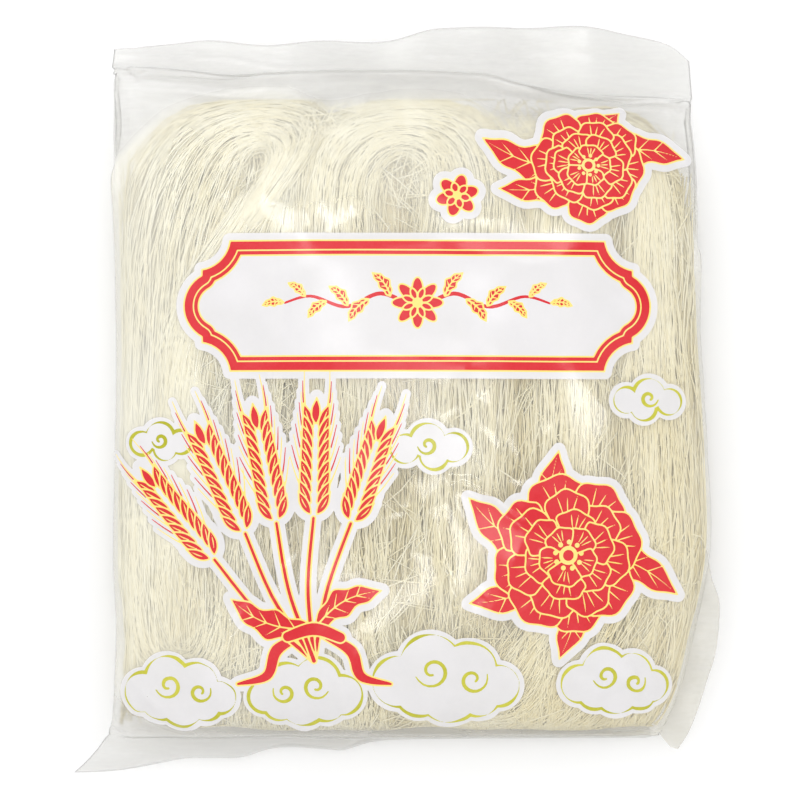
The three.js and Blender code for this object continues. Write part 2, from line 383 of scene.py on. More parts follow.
def film_rest(rows):
    """Where the film's points lie when the tube of film is round and free of creases."""
    around = np.linalg.norm(np.roll(rows, -1, axis=1) - rows, axis=2).sum(axis=1)
    along = np.linalg.norm(np.diff(rows, axis=0), axis=2)
    crown = along[:, HALF_RING // 2][:, None]
    length = along + (crown - along) * SIDES_EVENED
    y = np.concatenate([np.zeros((1, rows.shape[1])), np.cumsum(length, axis=0)]) * SLACK_ALONG
    turn = np.linspace(0, 2 * np.pi, rows.shape[1], endpoint=False)[None, :]
    radius = (around * SLACK_AROUND / (2 * np.pi))[:, None]
    return np.stack([-radius * np.cos(turn), y - y.mean(), radius * np.sin(turn)], axis=2)


def simulate_film(rows):
    """The film's rows after it has settled round the noodles as cloth."""
    count, columns = rows.shape[:2]
    film = sim_object("film_sim", rows.reshape(-1, 3), tube_faces(count, columns, False))
    contents_rows = body_rings(CONTENTS_ROWS, CONTENTS_GAP)
    contents_faces = tube_faces(len(contents_rows), RING)
    contents = sim_object("contents_sim", contents_rows.reshape(-1, 3), contents_faces)
    contents.modifiers.new("Collision", "COLLISION")
    set_all(contents.collision, CONTENTS_TOUCH)
    film.shape_key_add(name="Basis")
    rest = film.shape_key_add(name="Rest")
    rest_points = to_frame(film_rest(rows).reshape(-1, 3)) * SIM_SCALE
    rest.data.foreach_set("co", rest_points.ravel())
    pinned = film.vertex_groups.new(name="seals")
    held = list(range((FLAP_ROWS + 1) * columns))
    held += range((FLAP_ROWS + BODY_ROWS) * columns, count * columns)
    pinned.add(held, 1.0, "REPLACE")
    cloth = film.modifiers.new("Cloth", "CLOTH")
    set_all(cloth.settings, CLOTH)
    cloth.settings.vertex_group_mass = "seals"
    cloth.settings.rest_shape_key = rest
    cloth.settings.effector_weights.gravity = SIM_GRAVITY
    set_all(cloth.collision_settings, CLOTH_TOUCH)
    cloth.point_cache.frame_start, cloth.point_cache.frame_end = 1, SIM_FRAMES
    for step in range(1, SIM_FRAMES + 1):
        bpy.context.scene.frame_set(step)
    dg = bpy.context.evaluated_depsgraph_get()
    settled = film.evaluated_get(dg)
    points = np.empty(len(settled.data.vertices) * 3)
    settled.data.vertices.foreach_get("co", points)
    points = points.reshape(rows.shape) / SIM_SCALE / MM - SHIFT
    moved = points - rows
    far = np.linalg.norm(moved, axis=2, keepdims=True)
    for piece in (film, contents):
        bpy.data.objects.remove(piece)
    bpy.context.scene.frame_set(1)
    return rows + moved * np.minimum(1, MOST_MOVED / np.maximum(far, TINY))


# ---------------------------------------------------------------- the film's finer shape
HEAD_CREASE = [(-112, 126), (-85.5, 124), (-67, 121.8), (-50, 122.7), (-17, 123.5), (29.5, 122.2),
               (44, 118.9), (61.6, 115.9), (82.7, 114.3), (112, 111.7)]
FAINT_CREASES = [[(-112, 131), (-70, 130), (-48, 126), (-20, 128)],
                 [(10, 131), (50, 133), (80, 130), (104, 126)], [(-30, 119), (0, 120.5), (34, 117.5)]]
# Folds of the front film: the points of their line, how high they stand and their half width.
FILM_FOLDS = [([(-66, -74), (-65, -100), (-67, -124)], 1.0, 7), ([(45, -46), (61, -60)], 1.0, 5),
              ([(8, -44), (18, -72), (27, -98)], 1.5, 10), ([(47, -44), (38, -72), (27, -98)], 1.5, 10),
              ([(-28, 111), (-48, 86), (-58, 64)], 1.0, 8), ([(-10, 113), (-22, 94), (-37, 60)], 1.0, 7),
              ([(4, 113), (10, 92), (8, 68)], 0.9, 7), ([(40, 112), (52, 98), (54, 78)], 0.9, 7),
              ([(70, 111), (86, 96), (104, 84)], 1.0, 8), ([(106, 24), (96, -20), (105, -62)], 1.0, 8),
              ([(-106, 64), (-97, 20), (-104, -34)], 1.0, 8),
              ([(-106, -126), (-84, -108), (-70, -86)], 1.2, 8),
              ([(-20, -129), (-24, -112), (-13, -94)], 1.0, 6),
              ([(98, -126), (84, -110), (58, -99)], 1.2, 7), ([(-50, 42), (0, 54), (58, 46)], 0.8, 9),
              ([(-62, 6), (-10, 14), (44, 4)], 0.8, 9), ([(58, 20), (76, -6), (98, -22)], 1.0, 9),
              ([(-92, -50), (-80, -24), (-84, 4)], 0.9, 8),
              ([(9, -46), (18.6, -34.5), (31, -39), (47, -50), (68, -56), (94, -65)], 1.4, 2.3),
              ([(18.6, -36), (13, -52), (18, -74), (27, -98)], 0.7, 2.2),
              ([(-118, -135), (-92, -135.5), (-60, -134.5)], 0.9, 2.2),
              ([(-64, -131), (-30, -133), (8, -132)], 0.7, 2.2),
              ([(-67, -80), (-66, -104), (-70, -126)], 0.8, 2.0),
              ([(-104, -112), (-86, -127), (-64, -131)], 0.9, 2.6),
              ([(30, -131), (60, -131), (88, -128)], 0.7, 2.2),
              ([(-111, 112), (-80, 111), (-40, 109)], 0.6, 2.4),
              ([(20, 110), (60, 106), (104, 102)], 0.6, 2.4)]
# Where the film is crumpled: the middle of each patch, its reach in x and y, how many small creases it has,
# and their heading and its play in degrees.
CRUMPLED = [(-10, 113, 62, 5, 34, 5, 28), (0, 130, 62, 4, 22, 0, 40), (-88, -120, 14, 9, 14, 140, 60),
            (-10, -129, 55, 4, 30, 2, 20), (82, -112, 15, 10, 22, 115, 45), (-107, 0, 3, 62, 22, 90, 22),
            (112, 0, 4, 55, 18, 90, 22), (0, -40, 62, 55, 46, 70, 60), (-30, 80, 46, 18, 22, 60, 40),
            (-105, -138, 10, 3, 12, 0, 30)]
FOLD_POINTS = 12
FOLD_END, FOLD_FADING = 0.04, 0.6     # the share at its ends that fades no further, and its fading's power
CREASE_END, CREASE_FADING = 0.02, 0.7
CREASE_LENGTHS, CREASE_HEIGHTS, CREASE_HALVES = (7.0, 24.0), (0.12, 0.4), (1.3, 2.4)
CREASE_REACH = 4.0                    # how many half widths from a crease the film is level again
HEAD_RIDGE, FAINT_RIDGE = (1.3, 1.1), (0.35, 0.9)   # how high the head's creases stand and their half width
EAR_OUTER = [(117.6, -62), (119.6, -73), (122.4, -81), (122.9, -90), (121.8, -102), (119, -112),
             (115.8, -123), (111.6, -134), (107.6, -141)]
EAR_INNER = [(115.5, -64), (113.5, -76), (111.5, -88), (108.6, -100), (106.6, -110), (104.5, -118),
             (101.5, -126), (99.6, -133), (104.6, -140)]
EAR_ROOT, EAR_HEIGHT, EAR_FALL = -74.0, 15.2, 0.12   # its height at this y, and its fall from there per mm
EAR_ROWS, EAR_HALF = 44, 10           # points along the ear, and across each of its two layers
EAR_GAPE, EAR_CRUMPLE = 0.75, 0.7     # how far its layers gape, and how high they are crumpled


def halfway(grid, closed):
    """Grid with a new point halfway between each two along its first axis, on a smooth curve."""
    if closed:
        padded = np.concatenate([grid[-1:], grid, grid[:2]])
    else:
        padded = np.concatenate([2 * grid[:1] - grid[1:2], grid, 2 * grid[-1:] - grid[-2:-1]])
    middle = (9 * (padded[1:-2] + padded[2:-1]) - padded[:-3] - padded[3:]) / 16
    out = np.empty((len(grid) + len(middle), *grid.shape[1:]))
    out[0::2], out[1::2] = grid, middle
    return out


def finer(rows):
    """The film's rows with twice as many rows and columns."""
    return halfway(halfway(rows, False).swapaxes(0, 1), True).swapaxes(0, 1)


def outward(rows):
    """Unit vectors that point out of the film."""
    across = np.roll(rows, -1, axis=1) - np.roll(rows, 1, axis=1)
    return directions(np.cross(across, np.gradient(rows, axis=0)))


def ridge(rows, line, high, half):
    """Raises a fold that runs across the bag along a line."""
    at = smooth_curve(line)
    inside = (rows[..., 0] > line[0][0] - 1) & (rows[..., 0] < line[-1][0] + 1)
    rows[..., 2] += high * inside * np.exp(-(((rows[..., 1] - at(rows[..., 0])) / half) ** 2))


def faded(along, end, power):
    """Full at the middle of a line and fading towards its ends, where along is 0 and 1."""
    return np.sin(np.pi * np.clip(along, end, 1 - end)) ** power


def on_front(rows):
    """Which points of the film are on its front."""
    front = np.zeros(rows.shape[:2], bool)
    front[:, :rows.shape[1] // 2 + 1] = True
    return front


def raise_fold(rows, line, high, half):
    """Lifts the front film along a line into a fold with flat flanks, which fades towards its ends."""
    line = rail(line, FOLD_POINTS)
    far, t = to_segments(rows[..., 0], rows[..., 1], line[:-1], line[1:])
    nearest = far.argmin(axis=-1)
    along = (nearest + np.take_along_axis(t, nearest[..., None], -1)[..., 0]) / (len(line) - 1)
    apart = far.min(axis=-1) / half
    height = high * faded(along, FOLD_END, FOLD_FADING) * on_front(rows)
    return (height * np.exp(-apart * (0.7 + 0.5 * unit(apart))))[..., None] * outward(rows)


def crumpled(rows):
    """Small sharp creases up and down in the front film, as a height for each point."""
    random = np.random.default_rng(11)
    x, y = rows[..., 0], rows[..., 1]
    height = np.zeros(x.shape)
    front = on_front(rows)
    for px, py, spread_x, spread_y, count, heading, play in CRUMPLED:
        for _ in range(count):
            middle = np.array([px, py]) + random.uniform(-1, 1, 2) * (spread_x, spread_y)
            way = towards(random.normal(heading, play))
            reach = random.uniform(*CREASE_LENGTHS) / 2 * way
            high = random.uniform(*CREASE_HEIGHTS) * random.choice((-1, 1))
            half = random.uniform(*CREASE_HALVES)
            box = np.abs(reach) + CREASE_REACH * half
            near = front & (np.abs(x - middle[0]) < box[0]) & (np.abs(y - middle[1]) < box[1])
            far, t = to_segments(x[near], y[near], (middle - reach)[None], (middle + reach)[None])
            height[near] += high * faded(t[:, 0], CREASE_END, CREASE_FADING) * np.exp(-far[:, 0] / half)
    return height[..., None] * outward(rows)


PULL_BELOW, PULL_ABOVE = 22.0, 18.0   # how far below and above itself the crease draws the film along
LEAST_PULL = -2.0


def follow_crease(rows):
    """Moves the film near the head to where the crease over the noodles runs."""
    y = rows[..., 1]
    below, above = unit((y - (CREASE_Y - PULL_BELOW)) / PULL_BELOW), 1 - unit((y - CREASE_Y) / PULL_ABOVE)
    shift = np.maximum(smooth_curve(HEAD_CREASE)(rows[..., 0]) - CREASE_Y, LEAST_PULL)
    rows[..., 1] += shift * np.where(y < CREASE_Y, below**2 * (3 - 2 * below), above)


# Where the noodles end under the film at the head, and the rounded corner at the left of the foot.
NOODLE_TOP = [(-114, 86), (-108, 92), (-102, 98), (-91, 107), (-70, 113.4), (-46, 114.6), (-31, 109),
              (-15, 111), (2, 113.4), (20, 112), (33, 106), (41, 103), (50, 103), (60, 105), (73, 107),
              (84, 104), (92, 99), (102, 92), (109, 83), (115, 70)]
CORNER_X, CORNER_REACH, CORNER_Y, CORNER_RISE = -82.0, 30.0, -88.0, 14.0
# The film turns milky from the clear part to the seals over these lengths, and a little at the side folds.
HEAD_START, HEAD_MILKY, FOOT_START, FOOT_MILKY = -2.0, 5.0, 12.0, 13.0
SIDE_START, SIDE_MILKY = 0.93, 0.12


def seal_share(flat_rows, rows):
    """How far each point belongs to the film beyond the noodles: 0 over them, 1 at the seals."""
    x, y = flat_rows[..., 0], flat_rows[..., 1]
    across = np.abs(2 * (x - left_side(y)) / (right_side(y) - left_side(y)) - 1)
    top = smooth_curve(NOODLE_TOP)(x) + HEAD_START
    foot = FOOT_Y + FOOT_START + CORNER_RISE * unit((CORNER_X - x) / CORNER_REACH) ** 2
    ends = np.maximum(unit((rows[..., 1] - top) / HEAD_MILKY), unit((foot - y) / FOOT_MILKY))
    return np.maximum(ends, SIDE_MILKY * unit((across - SIDE_START) / (1 - SIDE_START)))


def float_layer(piece, name, values):
    layer = piece.data.attributes.new(name, "FLOAT", "POINT")
    layer.data.foreach_set("value", np.ascontiguousarray(values, dtype=np.float32).ravel())


def ear():
    """The film's folded ear at the right of the foot: two layers that meet in a fold at their outer edge."""
    inner, outer = rail(EAR_INNER, EAR_ROWS), rail(EAR_OUTER, EAR_ROWS)
    rising = np.sin(np.linspace(0, np.pi / 2, EAR_HALF))
    share = np.concatenate([rising, rising[::-1][1:]])
    side = np.concatenate([np.ones(EAR_HALF), -np.ones(EAR_HALF - 1)])
    flat = inner[:, None] + (outer - inner)[:, None] * share[None, :, None]
    x, y = flat[..., 0], flat[..., 1]
    apart = side * EAR_GAPE * np.sqrt(1 - share**2)
    waves = np.sin(y / 7.5 + 0.8 * np.sin(x / 4)) * np.sin(x / 3.7 + y / 13)
    z = EAR_HEIGHT - EAR_FALL * (EAR_ROOT - y) + apart + EAR_CRUMPLE * waves * unit(share * 1.6)
    index = np.arange(x.size).reshape(x.shape)
    quads = quads_between(index[:, :-1], index[:, 1:])
    return mesh_object("film_ear", np.stack([x, y, z], axis=-1).reshape(-1, 3), quads)


# ---------------------------------------------------------------- noodles
STRAND_RADIUS = 0.31
STRAND_SIZES = (0.82, 1.12)           # the thinnest and thickest strand against that
TOP_DEPTH = STRAND_RADIUS + 0.1       # how deep the topmost strands lie
DEPTH_SHADE_SHARE = 0.55                      # how much of a strand's tone is painted shade that darkens it with its depth
FULL_SHADE_DEPTH = 3.2                         # depth from which a strand's painted shade is as dark as it gets
STEP = 7.0                            # length of a strand's straight pieces
# Waves along strands, as their lengths and sizes: in a strand's share across its hank or its shell, and in
# millimetres sideways and down.
SHARE_WAVES, SHELL_WAVES = ((210, 95), (0.05, 0.025)), ((230, 95), (0.02, 0.01))
SIDE_WAVES = ((52, 30), (0.55, 0.35))
DEPTH_WAVES, SHELL_DEPTH_WAVES = ((64, 31), (0.45, 0.2)), ((55,), (0.15,))
WAVE_PLAY = (0.75, 1.3)               # how the length of a wave differs between strands
FOOT_WILD, FOOT_WILD_Y, FOOT_WILD_LENGTH = 1.1, -20.0, 90.0   # the side waves grow towards the foot
DRIFT_WAVES = ((61, 1.3, 1.7), (23, 0.8, 1.0))   # how bunches wander: length, size and shift of each wave
rng = np.random.default_rng(7)


def sway(at, lengths, sizes):
    """Smooth random waves along strands. at is (strands, points)."""
    out = np.zeros(at.shape)
    for length, size in zip(lengths, sizes):
        stretch = length * rng.uniform(*WAVE_PLAY, (len(at), 1))
        out += size * np.sin(2 * np.pi * (at / stretch + rng.uniform(0, 1, (len(at), 1))))
    return out


def gathered(share, at, bunches, pull):
    """Moves strands' shares across a hank together into bunches, and gives each one's place in its bunch."""
    drift = sum(size * np.sin(at / length + shift * bunches) for length, size, shift in DRIFT_WAVES)
    turn = 2 * np.pi * bunches * share[:, None] + drift
    return share[:, None] + pull / (2 * np.pi * bunches) * np.sin(turn), -np.cos(turn)


def tubes(name, lines, shade_depth):
    """One mesh of thin three-sided tubes along lines: (strands, points, axes). Their ends are closed.
    The last argument, from 0 to 1, says how deep a strand lies; it sets the painted shade in the strand's
    tone, darker for deeper strands."""
    count, points = lines.shape[:2]
    along = np.gradient(lines, axis=1)
    along /= np.linalg.norm(along, axis=2, keepdims=True) + 1e-12
    side = directions(np.cross(along, [0.0, 0.0, 1.0]))
    over = np.cross(side, along)
    twist = rng.uniform(0, 2 * np.pi, (count, 1, 1))
    size = STRAND_RADIUS * rng.uniform(*STRAND_SIZES, (count, 1, 1))
    rings = []
    for corner in range(3):
        turn = twist + corner * 2 * np.pi / 3
        rings.append(lines + size * (np.cos(turn) * side + np.sin(turn) * over))
    co = np.stack(rings, axis=2).reshape(-1, 3)
    index = np.arange(count * points * 3).reshape(count, points, 3)
    quads = quads_between(index, np.roll(index, -1, axis=2))
    caps = np.concatenate([index[:, 0][:, ::-1], index[:, -1]])
    piece = mesh_object(name, co, [quads, caps])
    # Tone: partly random, partly painted shade that is darker for strands lying deeper.
    tone = rng.uniform(0, 1 - DEPTH_SHADE_SHARE, (count, 1)) + DEPTH_SHADE_SHARE * np.broadcast_to(shade_depth, (count, points))
    float_layer(piece, "tone", np.repeat(tone.ravel(), 3))
    return piece


FOOT_BEND = 14.0                      # how far from the foot strands start to bend down round it
FOOT_ROOM, FOOT_POINTS = 0.15, 200    # how far from the contents' end they stop
SIDE_BEND, SIDE_ROOM = 0.9, 0.095     # the share across where they bend down the sides, and how far they go
SIDE_DRAW = 1.5                       # how much they are drawn apart there
HEAD_ROOM = 3.0                       # how far they stay from the crease at the head
LEAST_FULL = 0.05                     # how full the bag's ends count as for how deep strands lie


def foot_table():
    """Distance along the front near the foot, from where strands start to bend, and the y it leads to."""
    y = np.linspace(FOOT_Y + FOOT_BEND, FOOT_Y + CONTENTS_GAP + FOOT_ROOM, FOOT_POINTS)
    run = run_along(np.stack([y, front_height(np.zeros_like(y), y, CONTENTS_GAP)], axis=1))
    return FOOT_Y + FOOT_BEND - run[::-1], y[::-1]


FOOT_RUN, FOOT_PLACE = foot_table()


def foot_wave(x):
    """How much higher than the foot's end the strands stop, unevenly across the bag."""
    return 1.4 + 1.1 * np.sin(x / 15.5 + 0.6) + 0.8 * np.sin(x / 6.1)


def laid(x, y, depth):
    """Places on the contents, from x and y on a flat sheet laid over them and a depth under their top."""
    y = np.where(y < FOOT_Y + FOOT_BEND, np.interp(y, FOOT_RUN, FOOT_PLACE), y)
    y = y + foot_wave(x) * unit((FOOT_Y + FOOT_BEND - y) / FOOT_BEND)
    corner = unit((CORNER_X - x) / CORNER_REACH) * unit((CORNER_Y - y) / (CORNER_Y - FOOT_Y))
    y = y + CORNER_RISE * corner**2
    y = np.minimum(y, CREASE_Y - HEAD_ROOM)
    left, right = left_side(y), right_side(y)
    t = 2 * (x - left) / (right - left) - 1
    past = SIDE_DRAW * np.maximum(np.abs(t) - SIDE_BEND, 0)
    t = np.sign(t) * (np.minimum(np.abs(t), SIDE_BEND) + SIDE_ROOM * (1 - np.exp(-past / SIDE_ROOM)))
    z = front_height(t, y, CONTENTS_GAP) - depth * np.sqrt(np.clip(fullness(y), LEAST_FULL, 1))
    return np.stack([side_x(t, y, CONTENTS_GAP), y, z], axis=-1)


# Where one hank lies on another: the middle of the place, its reach in x and y, and how far the lower sinks.
CROSSED = [(-87, -98, 20, 30, 1.7), (24, -106, 30, 20, 1.5), (86, -92, 30, 38, 1.5),
           (-76, 40, 16, 36, 1.2)]
RAIL_POINTS = 400
CUT = 9.0                             # how unevenly a hank's strands start and end
EDGE_SINK = 3.0                       # how much lower a hank's edges lie than its middle
BUNCH_RISE, SHELL_BUNCH_RISE = 0.2, 0.35   # how much the middles of bunches stand out
TOP_CROWDED = 1.3                     # above 1, more of a hank's strands lie near its top
DIVE_DEPTH, DIVE_PLAY = 5.0, (0.4, 1.6)    # how deep strands dive, and how their dives differ in length
LEAST_POINTS = 4                      # of a hank's strand


def sunk_where_crossed(x, y):
    """How far strands sink at places where another hank lies on them."""
    return sum(high * np.exp(-((x - px) / wide) ** 2 - ((y - py) / long) ** 2)
               for px, py, wide, long, high in CROSSED)


def hank(name, inner, outer, strands, thick, bunches, on_top=False, pull=0.5, dive=(0.0, 0.0)):
    """A hank of strands between two rails under the front film.

    thick is its depth, and pull how much its strands are drawn together into bunches. One that is on_top
    keeps its height where it crosses others. dive gives the lengths over which it comes up at its start and
    sinks at its end."""
    inner, outer = rail(inner, RAIL_POINTS), rail(outer, RAIL_POINTS)
    run = run_along((inner + outer) / 2)
    count = max(LEAST_POINTS, int(run[-1] / STEP))
    start = CUT * rng.uniform(0, 1, (strands, 1))
    finish = run[-1] - CUT * rng.uniform(0, 1, (strands, 1))
    at = start + (finish - start) * np.linspace(0, 1, count)
    inner = np.stack([np.interp(at, run, inner[:, i]) for i in (0, 1)], axis=-1)
    outer = np.stack([np.interp(at, run, outer[:, i]) for i in (0, 1)], axis=-1)
    across = outer - inner
    width = np.linalg.norm(across, axis=2, keepdims=True)
    shares, bunch = gathered(rng.uniform(0, 1, strands), at, bunches, pull)
    shares = shares + sway(at, *SHARE_WAVES)
    wild = 1 + FOOT_WILD * unit((FOOT_WILD_Y - inner[..., 1]) / FOOT_WILD_LENGTH)
    wander = sway(at, *SIDE_WAVES) * wild
    flat = inner + across * shares[..., None] + across / width * wander[..., None]
    depth = thick * rng.uniform(0, 1, (strands, 1)) ** TOP_CROWDED
    depth = depth + EDGE_SINK * np.abs(2 * np.clip(shares, 0, 1) - 1) ** 4 - BUNCH_RISE * bunch
    if not on_top:
        depth = depth + sunk_where_crossed(flat[..., 0], flat[..., 1])
    uneven = rng.uniform(*DIVE_PLAY, (2, strands, 1))
    for length, way, place in zip(dive, uneven, (at, run[-1] - at)):
        if length:
            depth = depth + DIVE_DEPTH * unit(1 - place / (length * way)) ** 1.5
    depth = np.maximum(depth + sway(at, *DEPTH_WAVES), TOP_DEPTH)
    return tubes(name, laid(flat[..., 0], flat[..., 1], depth), unit(depth / FULL_SHADE_DEPTH))


# The rails of the hanks and of the strands laid over them: (x, y) points along their two edges.
LEFT_OUTER = [(-114, -146), (-114, -128), (-114, -97), (-115, -43), (-115, -4), (-115, 35), (-113, 66),
              (-106, 89.4), (-91, 105.7), (-69.5, 113.4), (-46, 114.6), (-30.7, 108.8), (-31, 96),
              (-39, 82), (-50, 67), (-61, 50), (-69, 30), (-73, 8), (-75, -19), (-75, -50), (-76, -82),
              (-76, -126), (-76, -146)]
LEFT_INNER = [(-83, -146), (-83, -128), (-83, -97), (-81, -43), (-79, -4), (-75.4, 35), (-69, 60),
              (-63.7, 75.8), (-61, 84.7), (-59, 89.4), (-56, 90.4), (-54.6, 88.2), (-56, 83.5),
              (-59.8, 76.7), (-66, 68), (-75, 56), (-84, 40), (-91, 21), (-95, -6), (-97, -43), (-98, -82),
              (-98, -126), (-98, -146)]
MIDDLE_OUTER = [(-43.5, -146), (-43.5, -128), (-43.5, -97), (-43.5, -43), (-44, -4), (-44.3, 35),
                (-44, 62), (-42.7, 79.6), (-39.2, 93.2), (-30.7, 104), (-15.2, 110.7), (2.3, 113.4),
                (19.8, 112), (33.4, 105), (41.2, 93.2), (45, 77.7), (45.8, 54.4), (45, 15.5), (43, -23.3),
                (42, -66), (41.2, -97), (41, -128), (41, -146)]
MIDDLE_INNER = [(-2, -146), (-2, -128), (-1, -97), (-3, -43), (-4, -4), (-6, 35), (-8.4, 58.3),
                (-8.5, 71.9), (-6.5, 80.6), (-3.5, 85.4), (-1, 87.4), (1.2, 87), (3.5, 84), (4, 80),
                (3, 74), (2, 66), (0, 50.5), (-1, 15.5), (0, -23.3), (0, -66), (0, -97), (0, -128),
                (0, -146)]
RIGHT_OUTER = [(40, -146), (40, -128), (41, -97), (44, -43), (45, -4), (45, 35), (46, 62), (49, 83),
               (57, 99), (73, 108.8), (92, 106), (102, 97), (107, 83), (109.5, 60), (112.5, 20),
               (115.5, -20), (117.5, -55), (117, -82), (112, -104), (102, -126), (97, -146)]
RIGHT_INNER = [(78, -146), (78, -128), (80, -97), (82, -43), (82, -4), (80, 35), (79, 58), (79, 70),
               (80.5, 78), (83, 81), (85.5, 80), (87, 76), (86, 68), (84, 50), (83, 20), (82, -20),
               (82, -55), (80, -82), (79, -104), (77, -126), (76, -146)]
SWIRL_OUTER = [(-110, -30), (-110.5, -60), (-110.5, -86), (-108, -102), (-100, -114), (-87, -119.5),
               (-74, -116), (-66, -106), (-62.5, -92), (-62, -72), (-64, -48)]
SWIRL_INNER = [(-93, -34), (-92.5, -62), (-91.5, -82), (-90.5, -90), (-89, -94.5), (-86.5, -96),
               (-84, -94.5), (-82.5, -90), (-81.5, -82), (-81, -68), (-81, -48)]
FOOT_OUTER = [(-22, -66), (-24, -90), (-20, -110), (-6, -128), (16, -138), (40, -137), (58, -126),
              (66, -108), (68, -84)]
FOOT_INNER = [(8, -70), (7, -86), (9, -96), (14, -102), (22, -105), (30, -104), (36, -99), (39, -92),
              (40, -78)]
FILL_LEFT = [(-82, -146), (-82, -128), (-80, -60), (-77, -10), (-70, 30), (-60, 55), (-52, 72)]
FILL_RIGHT = [(-40, -146), (-40, -128), (-40, -60), (-40, -10), (-40, 30), (-40, 58), (-40, 80)]
FAN_LEFT = [(-6, -146), (0, -137), (12, -120), (25.6, -101), (37.3, -85.5), (48.2, -70), (56.7, -52),
            (62, -33)]
FAN_RIGHT = [(72, -146), (80, -136), (90, -122), (99, -105), (107, -87.4), (112.5, -70), (115.5, -52),
             (116.5, -33)]
SWEEP_LEFT = [(-61, 83), (-66, 72), (-78, 56), (-90, 38), (-98, 18), (-101, -6), (-102, -30)]
SWEEP_RIGHT = [(-48, 84), (-51, 76), (-58, 62), (-66, 46), (-73, 26), (-77, 0), (-78, -26)]

# Short strands: how much they are bent, how deep they lie and how much deeper at their ends.
BIT_POINTS, BIT_BEND, BIT_DEPTHS, BIT_DIP = 4, 0.012, (0.4, 1.3), 2.0
BIT_SHADE_DEPTH = 0.15                       # how deep they count as for the painted shade in their tone


def loose_bits(name, spots):
    """Short broken strands that lie on the others. Each spot gives x, y, its size, a count, a heading and its
    play in degrees, and the shortest and longest length."""
    places = []
    for x, y, spread, count, heading, play, short, long in spots:
        middle = np.array([x, y]) + rng.normal(0, spread, (count, 2))
        turn = np.radians(rng.normal(heading, play, (count, 1)))
        reach = rng.uniform(short, long, (count, 1)) * np.linspace(-0.5, 0.5, BIT_POINTS)
        bend = rng.uniform(-BIT_BEND, BIT_BEND, (count, 1)) * reach**2
        px = middle[:, :1] + reach * np.cos(turn) - bend * np.sin(turn)
        py = middle[:, 1:] + reach * np.sin(turn) + bend * np.cos(turn)
        depth = rng.uniform(*BIT_DEPTHS, (count, 1))
        depth = depth + BIT_DIP * (reach / long) ** 2 * rng.uniform(0, 1, (count, 1))
        places.append(laid(px, py, depth))
    return tubes(name, np.concatenate(places), BIT_SHADE_DEPTH)


BITS = [(-56, -8, 16, 170, 70, 50, 8, 26), (76, -104, 9, 90, 40, 45, 5, 16),
        (5, 80, 7, 40, 120, 40, 5, 14), (-61, 82, 3, 18, 60, 35, 4, 10), (0, -60, 40, 300, 85, 30, 10, 30),
        (-90, -40, 20, 110, 88, 16, 10, 34), (84, 0, 24, 200, 84, 22, 10, 34),
        (60, -100, 28, 200, 55, 30, 8, 26), (10, 95, 24, 70, 110, 50, 8, 22),
        (-6, -112, 30, 180, 75, 40, 8, 24), (96, -70, 12, 120, 70, 30, 8, 24),
        (100, 60, 9, 70, 86, 18, 10, 30), (-60, -112, 20, 70, 70, 50, 8, 22),
        (47, 97, 7, 90, 60, 60, 6, 18), (96, 90, 5, 50, 110, 40, 6, 14), (-28, 102, 5, 50, 90, 60, 5, 14)]

SHELL_POINTS = 30
SHELL_BUNCH, SHELL_PULL = 2.6, 0.7    # columns to a bunch, and how much it is drawn together
SHELL_CUT = 2.5                       # by how many rows the strands differ at their ends
# Where the strands all round the contents start and end: (x, y) points.
FRONT_FOOT = [(-112, -104), (-100, -119), (-84, -129), (0, -131), (100, -130)]
FRONT_HEAD = [(-112, 44), (-104, 72), (-90, 92), (-70, 102), (-46, 100), (-30, 88), (-15, 100), (2, 104),
              (20, 102), (38, 97), (50, 98), (66, 99), (84, 100), (98, 94), (108, 72), (114, 48)]
BACK_FOOT = [(-112, -130), (112, -130)]
BACK_HEAD = [(-114, 40), (-106, 70), (-94, 90), (-74, 102), (60, 102), (92, 98), (106, 78), (114, 50)]


def shell_strands(name, strands, columns, depth, thick, foot_ends, head_ends):
    """Strands that run round the contents from the foot to the head, between two columns of their ring and
    two lines of (x, y) points."""
    ys = body_ys(CONTENTS_ROWS, CONTENTS_GAP)
    table = body_rings(CONTENTS_ROWS, CONTENTS_GAP)
    row_length = np.linalg.norm(table[0, HALF_RING // 2] - table[-1, HALF_RING // 2]) / CONTENTS_ROWS
    table = np.concatenate([table, table[:, :1]], axis=1)
    out = directions(np.cross(np.gradient(table, axis=1), np.gradient(table, axis=0)))
    share = rng.uniform(0, 1, strands)
    x = side_x(2 * share - 1, 0.0)
    numbers = np.arange(len(ys))
    start = np.interp(smooth_curve(foot_ends)(x), ys, numbers) + rng.uniform(0, SHELL_CUT, strands)
    finish = np.interp(smooth_curve(head_ends)(x), ys, numbers) - rng.uniform(0, SHELL_CUT, strands)
    row = start[:, None] + (finish - start)[:, None] * np.linspace(0, 1, SHELL_POINTS)
    at = row * row_length
    shares, bunch = gathered(share, at, (columns[1] - columns[0]) / SHELL_BUNCH, SHELL_PULL)
    shares = shares + sway(at, *SHELL_WAVES)
    k = (columns[0] + (columns[1] - columns[0]) * shares) % RING
    i, j = np.clip(row.astype(int), 0, len(table) - 2), np.clip(k.astype(int), 0, RING - 1)
    u, v = (row - i)[..., None], (k - j)[..., None]
    sink = depth + thick * rng.uniform(0, 1, (strands, 1)) - SHELL_BUNCH_RISE * bunch
    sink = np.maximum(sink + sway(at, *SHELL_DEPTH_WAVES), TOP_DEPTH)
    lines = between(table, i, j, u, v) - between(out, i, j, u, v) * sink[..., None]
    return tubes(name, lines, unit(sink / FULL_SHADE_DEPTH))


CORE_GAP = 7.5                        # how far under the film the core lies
CORE_HEAD, CORE_HEAD_LENGTH = 78.0, 30.0     # the y from which it narrows, and over what length
CORE_NARROWED, CORE_SHORTENED = 0.16, 0.3


